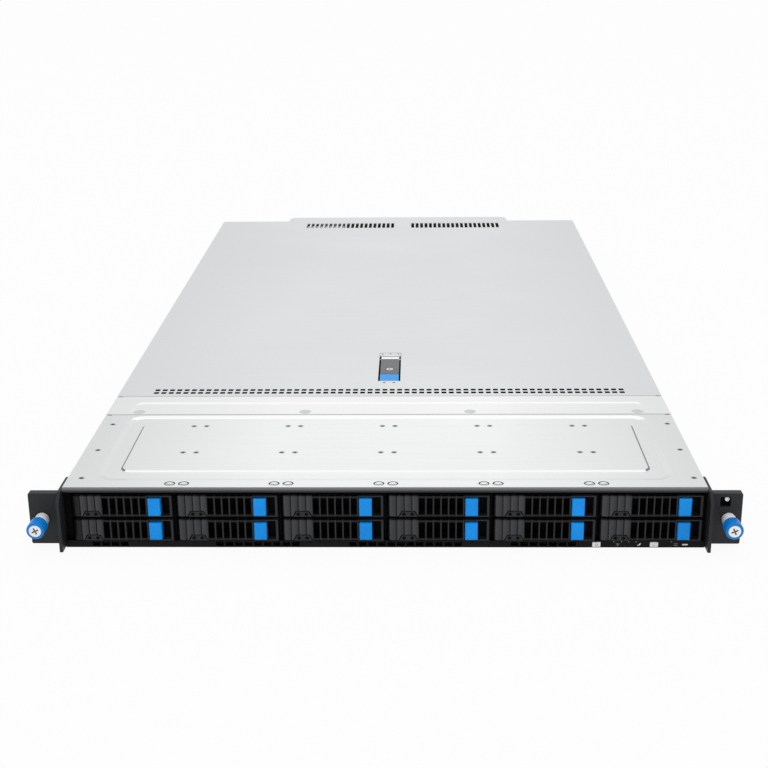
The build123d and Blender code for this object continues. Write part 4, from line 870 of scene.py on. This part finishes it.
# %% [markdown]
# Every tray has two light windows in its bump. They are dark lenses in a thin rim, so each is a disc
# with an inset, its middle set back.

# %% Tray lights
LIGHTS_X, LIGHT_Z, LIGHT_R = (11.4, 16.9), 1.95, 1.15
TRAY_FACE = -6.0


def round_window(shape, x, y, z, radius, proud, sink, front=True):
    """A lens with a raised rim that faces the front or the rear."""
    made = bmesh.ops.create_circle(shape, cap_ends=True, radius=radius, segments=20)["verts"]
    face = list({f for v in made for f in v.link_faces})
    rim = [e for e in {e for v in made for e in v.link_edges} if e.is_boundary]
    skirt = bmesh.ops.extrude_edge_only(shape, edges=rim)["geom"]
    foot = [part for part in skirt if isinstance(part, bmesh.types.BMVert)]
    bmesh.ops.translate(shape, verts=foot, vec=(0, 0, -proud))
    ring = bmesh.ops.inset_individual(shape, faces=face, thickness=radius * 0.22)["faces"]
    bmesh.ops.translate(shape, verts=list({v for f in face for v in f.verts}), vec=(0, 0, -sink))
    verts = list({v for f in ring + face for v in f.verts} | set(foot))
    upright(shape, verts, x, y - proud if front else y + proud, z, front)


for number, (x, z) in enumerate(TRAYS, start=1):
    shape = bmesh.new()
    for offset in LIGHTS_X:
        round_window(shape, x + offset, TRAY_FACE, z + LIGHT_Z, LIGHT_R, 0.2, 0.15)
    fit(f"tray_lights_{number:02d}", shape, recess_shade_black, f"tray_{number:02d}")
print(len(TRAYS), "pairs of tray lights")

# %% [markdown]
# The strip under the trays carries small plain marks beside its lights and two white push-buttons. The
# marks are printed, so each is a thin raised shape: bars, a slash, a ring with a bar through its gap.

# %% Strip marks
STRIP_FACE, MARK_Z, CAP_FACE = -5.5, 2.2, -6.3
PRINT = 0.05
WHITE_MARKS = ((204.6, 0.0, 3.8, 1.0, 0), (173.8, 0.0, 2.4, 0.8, 45), (172.9, -0.5, 0.9, 0.9, 0))
GREY_MARKS = ((198.4, -0.6, 2.6, 0.45, 0), (198.4, 0.6, 2.6, 0.45, 0),
              (159.1, 0.5, 2.6, 0.5, 0), (159.1, -0.5, 0.9, 0.9, 0))
LIGHTS_AT, STRIP_LIGHT_Z = (156.4, 161.6, 166.6, 171.5, 195.4), 4.3
PINHOLE_ROWS, PINHOLE_Z = ((-167.7, 6.4, 8), (-50.0, 6.45, 4), (60.1, 6.5, 4)), 4.0
PINHOLES = [first + pitch * step for first, pitch, count in PINHOLE_ROWS for step in range(count)]
POWER_X, LOCATE_X = 144.6, 183.6
POWER_RING_Z, POWER_RING_R = 2.4, 0.85


def printed_bar(shape, x, z, width, height, face, turn=0, front=True):
    """A thin rounded bar printed on a face at the front or the rear."""
    before = set(shape.verts)
    made = bmesh.ops.create_grid(shape, x_segments=1, y_segments=1, size=0.5)["verts"]
    bmesh.ops.scale(shape, vec=(width, height, 1), verts=made)
    bmesh.ops.bevel(shape, geom=made, offset=min(width, height) * 0.3, offset_type="OFFSET",
                    segments=2, profile=0.5, affect="VERTICES", material=-1)
    verts = [v for v in shape.verts if v not in before]
    bmesh.ops.rotate(shape, verts=verts, cent=(0, 0, 0), matrix=turn_about("Z", turn))
    upright(shape, verts, x, face - PRINT if front else face + PRINT, z, front)


for name, marks, material, slot in (("white", WHITE_MARKS, white_plastic, "white_plastic"),
                                    ("grey", GREY_MARKS, mark_grey, "black_steel")):
    shape = bmesh.new()
    for x, lift, width, height, turn in marks:
        printed_bar(shape, x, MARK_Z + lift, width, height, STRIP_FACE, turn)
    fit(f"strip_marks_{name}", shape, material, "chassis")
shape = bmesh.new()
for x in LIGHTS_AT:
    round_window(shape, x, STRIP_FACE, STRIP_LIGHT_Z, 0.42, 0.06, 0.03)
fit("strip_lights", shape, mark_grey, "chassis")
# The pinholes are near-black discs, painted shade in place of holes.
shape = bmesh.new()
for x in PINHOLES:
    round_window(shape, x, STRIP_FACE, PINHOLE_Z, 0.6, 0.05, 0.03)
fit("strip_pinholes", shape, recess_shade_black, "chassis")

shape = bmesh.new()
for turn in range(-120, 121, 40):
    angle = math.radians(turn - 90)
    x = POWER_X + math.cos(angle) * POWER_RING_R
    z = POWER_RING_Z + math.sin(angle) * POWER_RING_R
    printed_bar(shape, x, z, 0.65, 0.28, CAP_FACE, turn)
printed_bar(shape, POWER_X, 3.15, 0.28, 0.9, CAP_FACE)
fit("power_button_mark", shape, mark_grey, "power_button")
shape = bmesh.new()
printed_bar(shape, LOCATE_X, 2.1, 0.4, 1.3, CAP_FACE)
printed_bar(shape, LOCATE_X, 3.2, 0.45, 0.45, CAP_FACE)
fit("locate_button_mark", shape, mark_grey, "locate_button")
print(len(PINHOLES), "pinholes,", len(LIGHTS_AT), "lights and the marks of two buttons")

# %% [markdown]
# The right ear has a square window. Behind it a plate painted near-black, as painted shade, carries one
# small lens painted pale white, a painted highlight, so the window reads as a dark square with a spot
# of light.

# %% Ear window
WINDOW_X, WINDOW_Y, WINDOW_Z, WINDOW_HALF = 229.8, (-2.6, -0.5), 34.0, 3.44
shape = bmesh.new()
slab(shape, (WINDOW_X - WINDOW_HALF, WINDOW_X + WINDOW_HALF), WINDOW_Y,
     (WINDOW_Z - WINDOW_HALF, WINDOW_Z + WINDOW_HALF), 0.15)
fit("ear_window_plate", shape, recess_shade_black, "chassis")
shape = bmesh.new()
round_window(shape, WINDOW_X + 1.4, WINDOW_Y[0], WINDOW_Z + 1.2, 1.5, 1.6, 0.1)
fit("ear_window_lens", shape, plated_highlight, "chassis")
print("ear window is filled")

# %% [markdown]
# At the rear the network sockets have eight springy contacts each, and a green and an amber light. A
# contact is a strip of sheet doubled back under itself. A grid of three rows makes it: the last row is
# drawn back and down, and solidify gives the strip its thickness.

# %% Network and serial sockets
PINS, PIN_PITCH, PIN_Y, PIN_LIFT = 8, 1.02, 830.5, 10.4
NET_LIGHTS, NET_LIGHT_LIFT = (("green", -4.3, light_green), ("amber", 4.3, light_amber)), 12.2
TONGUE_HALF, TONGUE_Y, TONGUE_LIFT = 4.6, (829.0, 836.9), (4.0, 5.4)


def spring(shape, x, y, z):
    """A contact strip that runs to the rear and turns back down."""
    before = set(shape.verts)
    made = bmesh.ops.create_grid(shape, x_segments=1, y_segments=2, size=0.5)["verts"]
    bmesh.ops.scale(shape, vec=(0.45, 8.0, 1), verts=made)
    bmesh.ops.translate(shape, verts=[v for v in made if v.co.y < -1], vec=(0, 5.5, -3.0))
    strip = list({f for v in made for f in v.link_faces})
    bmesh.ops.solidify(shape, geom=strip, thickness=0.2)
    bmesh.ops.translate(shape, verts=[v for v in shape.verts if v not in before], vec=(x, y, z))


shape = bmesh.new()
for port in NET_X:
    for pin in range(PINS):
        x = port + (pin - (PINS - 1) / 2) * PIN_PITCH
        spring(shape, x, PIN_Y, BOARD_TOP + PIN_LIFT)
fit("network_contacts", shape, brass, "chassis")
for name, offset, material in NET_LIGHTS:
    shape = bmesh.new()
    for port in NET_X:
        z = BOARD_TOP + NET_LIGHT_LIFT
        printed_bar(shape, port + offset, z, 2.8, 1.5, PORT_FACE, front=False)
    fit(f"network_lights_{name}", shape, material, "chassis")
shape = bmesh.new()
for port in SERIAL_X:
    slab(shape, (port - TONGUE_HALF, port + TONGUE_HALF), TONGUE_Y,
         [BOARD_TOP + lift for lift in TONGUE_LIFT], 0.25)
fit("serial_tongues", shape, dark_plastic, "chassis")
print(PINS * len(NET_X), "network contacts and", len(SERIAL_X), "serial tongues")

# %% [markdown]
# The video connector has a blue insert with fifteen pin holes, and a hexagonal standoff on each side.
# The insert narrows downwards like its shell, so the lower edge of a flat plate is scaled in.

# %% Video connector
VIDEO_X, VIDEO_Z, VIDEO_FACE = 66.0, 13.85, 843.2
INSERT_W, INSERT_H, NARROWING = 15.6, 7.2, 0.84
HOLE_ROWS, HOLE_COUNT, HOLE_PITCH = ((1.98, -0.4), (0.0, 0.75), (-1.98, -0.4)), 5, 2.29
STANDOFF_X = 12.4
shape = bmesh.new()
verts = bmesh.ops.create_grid(shape, x_segments=1, y_segments=1, size=0.5)["verts"]
bmesh.ops.scale(shape, vec=(INSERT_W, INSERT_H, 1), verts=verts)
bmesh.ops.scale(shape, vec=(NARROWING, 1, 1), verts=[v for v in verts if v.co.y < 0])
upright(shape, verts, VIDEO_X, VIDEO_FACE + PRINT, VIDEO_Z, False)
fit("video_insert", shape, blue_plastic, "chassis")
# The pin holes are near-black discs, painted shade in place of holes.
shape = bmesh.new()
for row, shift in HOLE_ROWS:
    for hole in range(HOLE_COUNT):
        x = VIDEO_X + (hole - (HOLE_COUNT - 1) / 2) * HOLE_PITCH + shift
        round_window(shape, x, VIDEO_FACE + PRINT, VIDEO_Z + row, 0.62, 0.05, 0.02, False)
fit("video_pin_holes", shape, recess_shade_black, "chassis")


def raised(shape, faces, height):
    """Extrude faces upwards, and return the lids that end up on top."""
    parts = bmesh.ops.extrude_face_region(shape, geom=faces)["geom"]
    corners = [part for part in parts if isinstance(part, bmesh.types.BMVert)]
    bmesh.ops.translate(shape, verts=corners, vec=(0, 0, height))
    return [part for part in parts if isinstance(part, bmesh.types.BMFace)]


def standoff(shape, x, y, z):
    """A six-sided standoff with a sunk thread, facing the rear."""
    before = set(shape.verts)
    made = bmesh.ops.create_circle(shape, cap_ends=True, radius=2.6, segments=6)["verts"]
    face = list({f for v in made for f in v.link_faces})
    lid = raised(shape, face, 4.6)
    bmesh.ops.inset_individual(shape, faces=lid, thickness=1.0)
    bmesh.ops.inset_individual(shape, faces=lid, thickness=0.01, depth=-2.0)
    upright(shape, [v for v in shape.verts if v not in before], x, y, z, False)


shape = bmesh.new()
for side in (-1, 1):
    standoff(shape, VIDEO_X + side * STANDOFF_X, PORT_FACE, VIDEO_Z)
fit("video_standoffs", shape, bright_steel, "chassis")
print("video connector with", HOLE_COUNT * len(HOLE_ROWS), "pin holes")

# %% [markdown]
# Low domed screws hold the rear wall and rivets hold the side walls. A head is a disc raised once for
# its rim and twice more, inset, for its crown. Each power supply has one green light.

# %% Screws, rivets and supply lights
REAR_SCREWS = ((-58, 32), (-20, 34), (30, 34), (84, 34), (211.5, 30), (211.5, 9), (150, 12))
RIVETS_Y, RIVETS_Z = (24, 70, 165, 260, 380, 500, 700, 790), (7.0, 37.0)
SUPPLY_LIGHT_X, SUPPLY_LIGHT_Z = -9.0, 8.0


def dome(shape, radius, height):
    """A low domed head on the floor plane; returns its verts."""
    before = set(shape.verts)
    made = bmesh.ops.create_circle(shape, cap_ends=True, radius=radius, segments=18)["verts"]
    face = list({f for v in made for f in v.link_faces})
    lid = raised(shape, face, height * 0.55)
    bmesh.ops.inset_individual(shape, faces=lid, thickness=radius * 0.25, depth=height * 0.3)
    bmesh.ops.inset_individual(shape, faces=lid, thickness=radius * 0.35, depth=height * 0.15)
    return [v for v in shape.verts if v not in before]


shape = bmesh.new()
for x, z in REAR_SCREWS:
    upright(shape, dome(shape, 2.6, 1.3), x, REAR_WALL, z, False)
fit("rear_screws", shape, bright_steel, "chassis")
shape = bmesh.new()
for side in (-1, 1):
    for y in RIVETS_Y:
        for z in RIVETS_Z:
            verts = dome(shape, 2.3, 0.6)
            bmesh.ops.rotate(shape, verts=verts, cent=(0, 0, 0), matrix=turn_about("Y", 90 * side))
            bmesh.ops.translate(shape, verts=verts, vec=(side * SIDE_WALL, y, z))
fit("side_rivets", shape, zinc_spot, "chassis")
for name, inlet in INLETS.items():
    shape = bmesh.new()
    x = inlet + SUPPLY_LIGHT_X
    round_window(shape, x, PORT_FACE, SUPPLY_LIGHT_Z, 1.6, 0.3, 0.15, False)
    fit(f"{name}_light", shape, light_green, name)
print(len(REAR_SCREWS), "rear screws and", 2 * len(RIVETS_Y) * len(RIVETS_Z), "rivets")
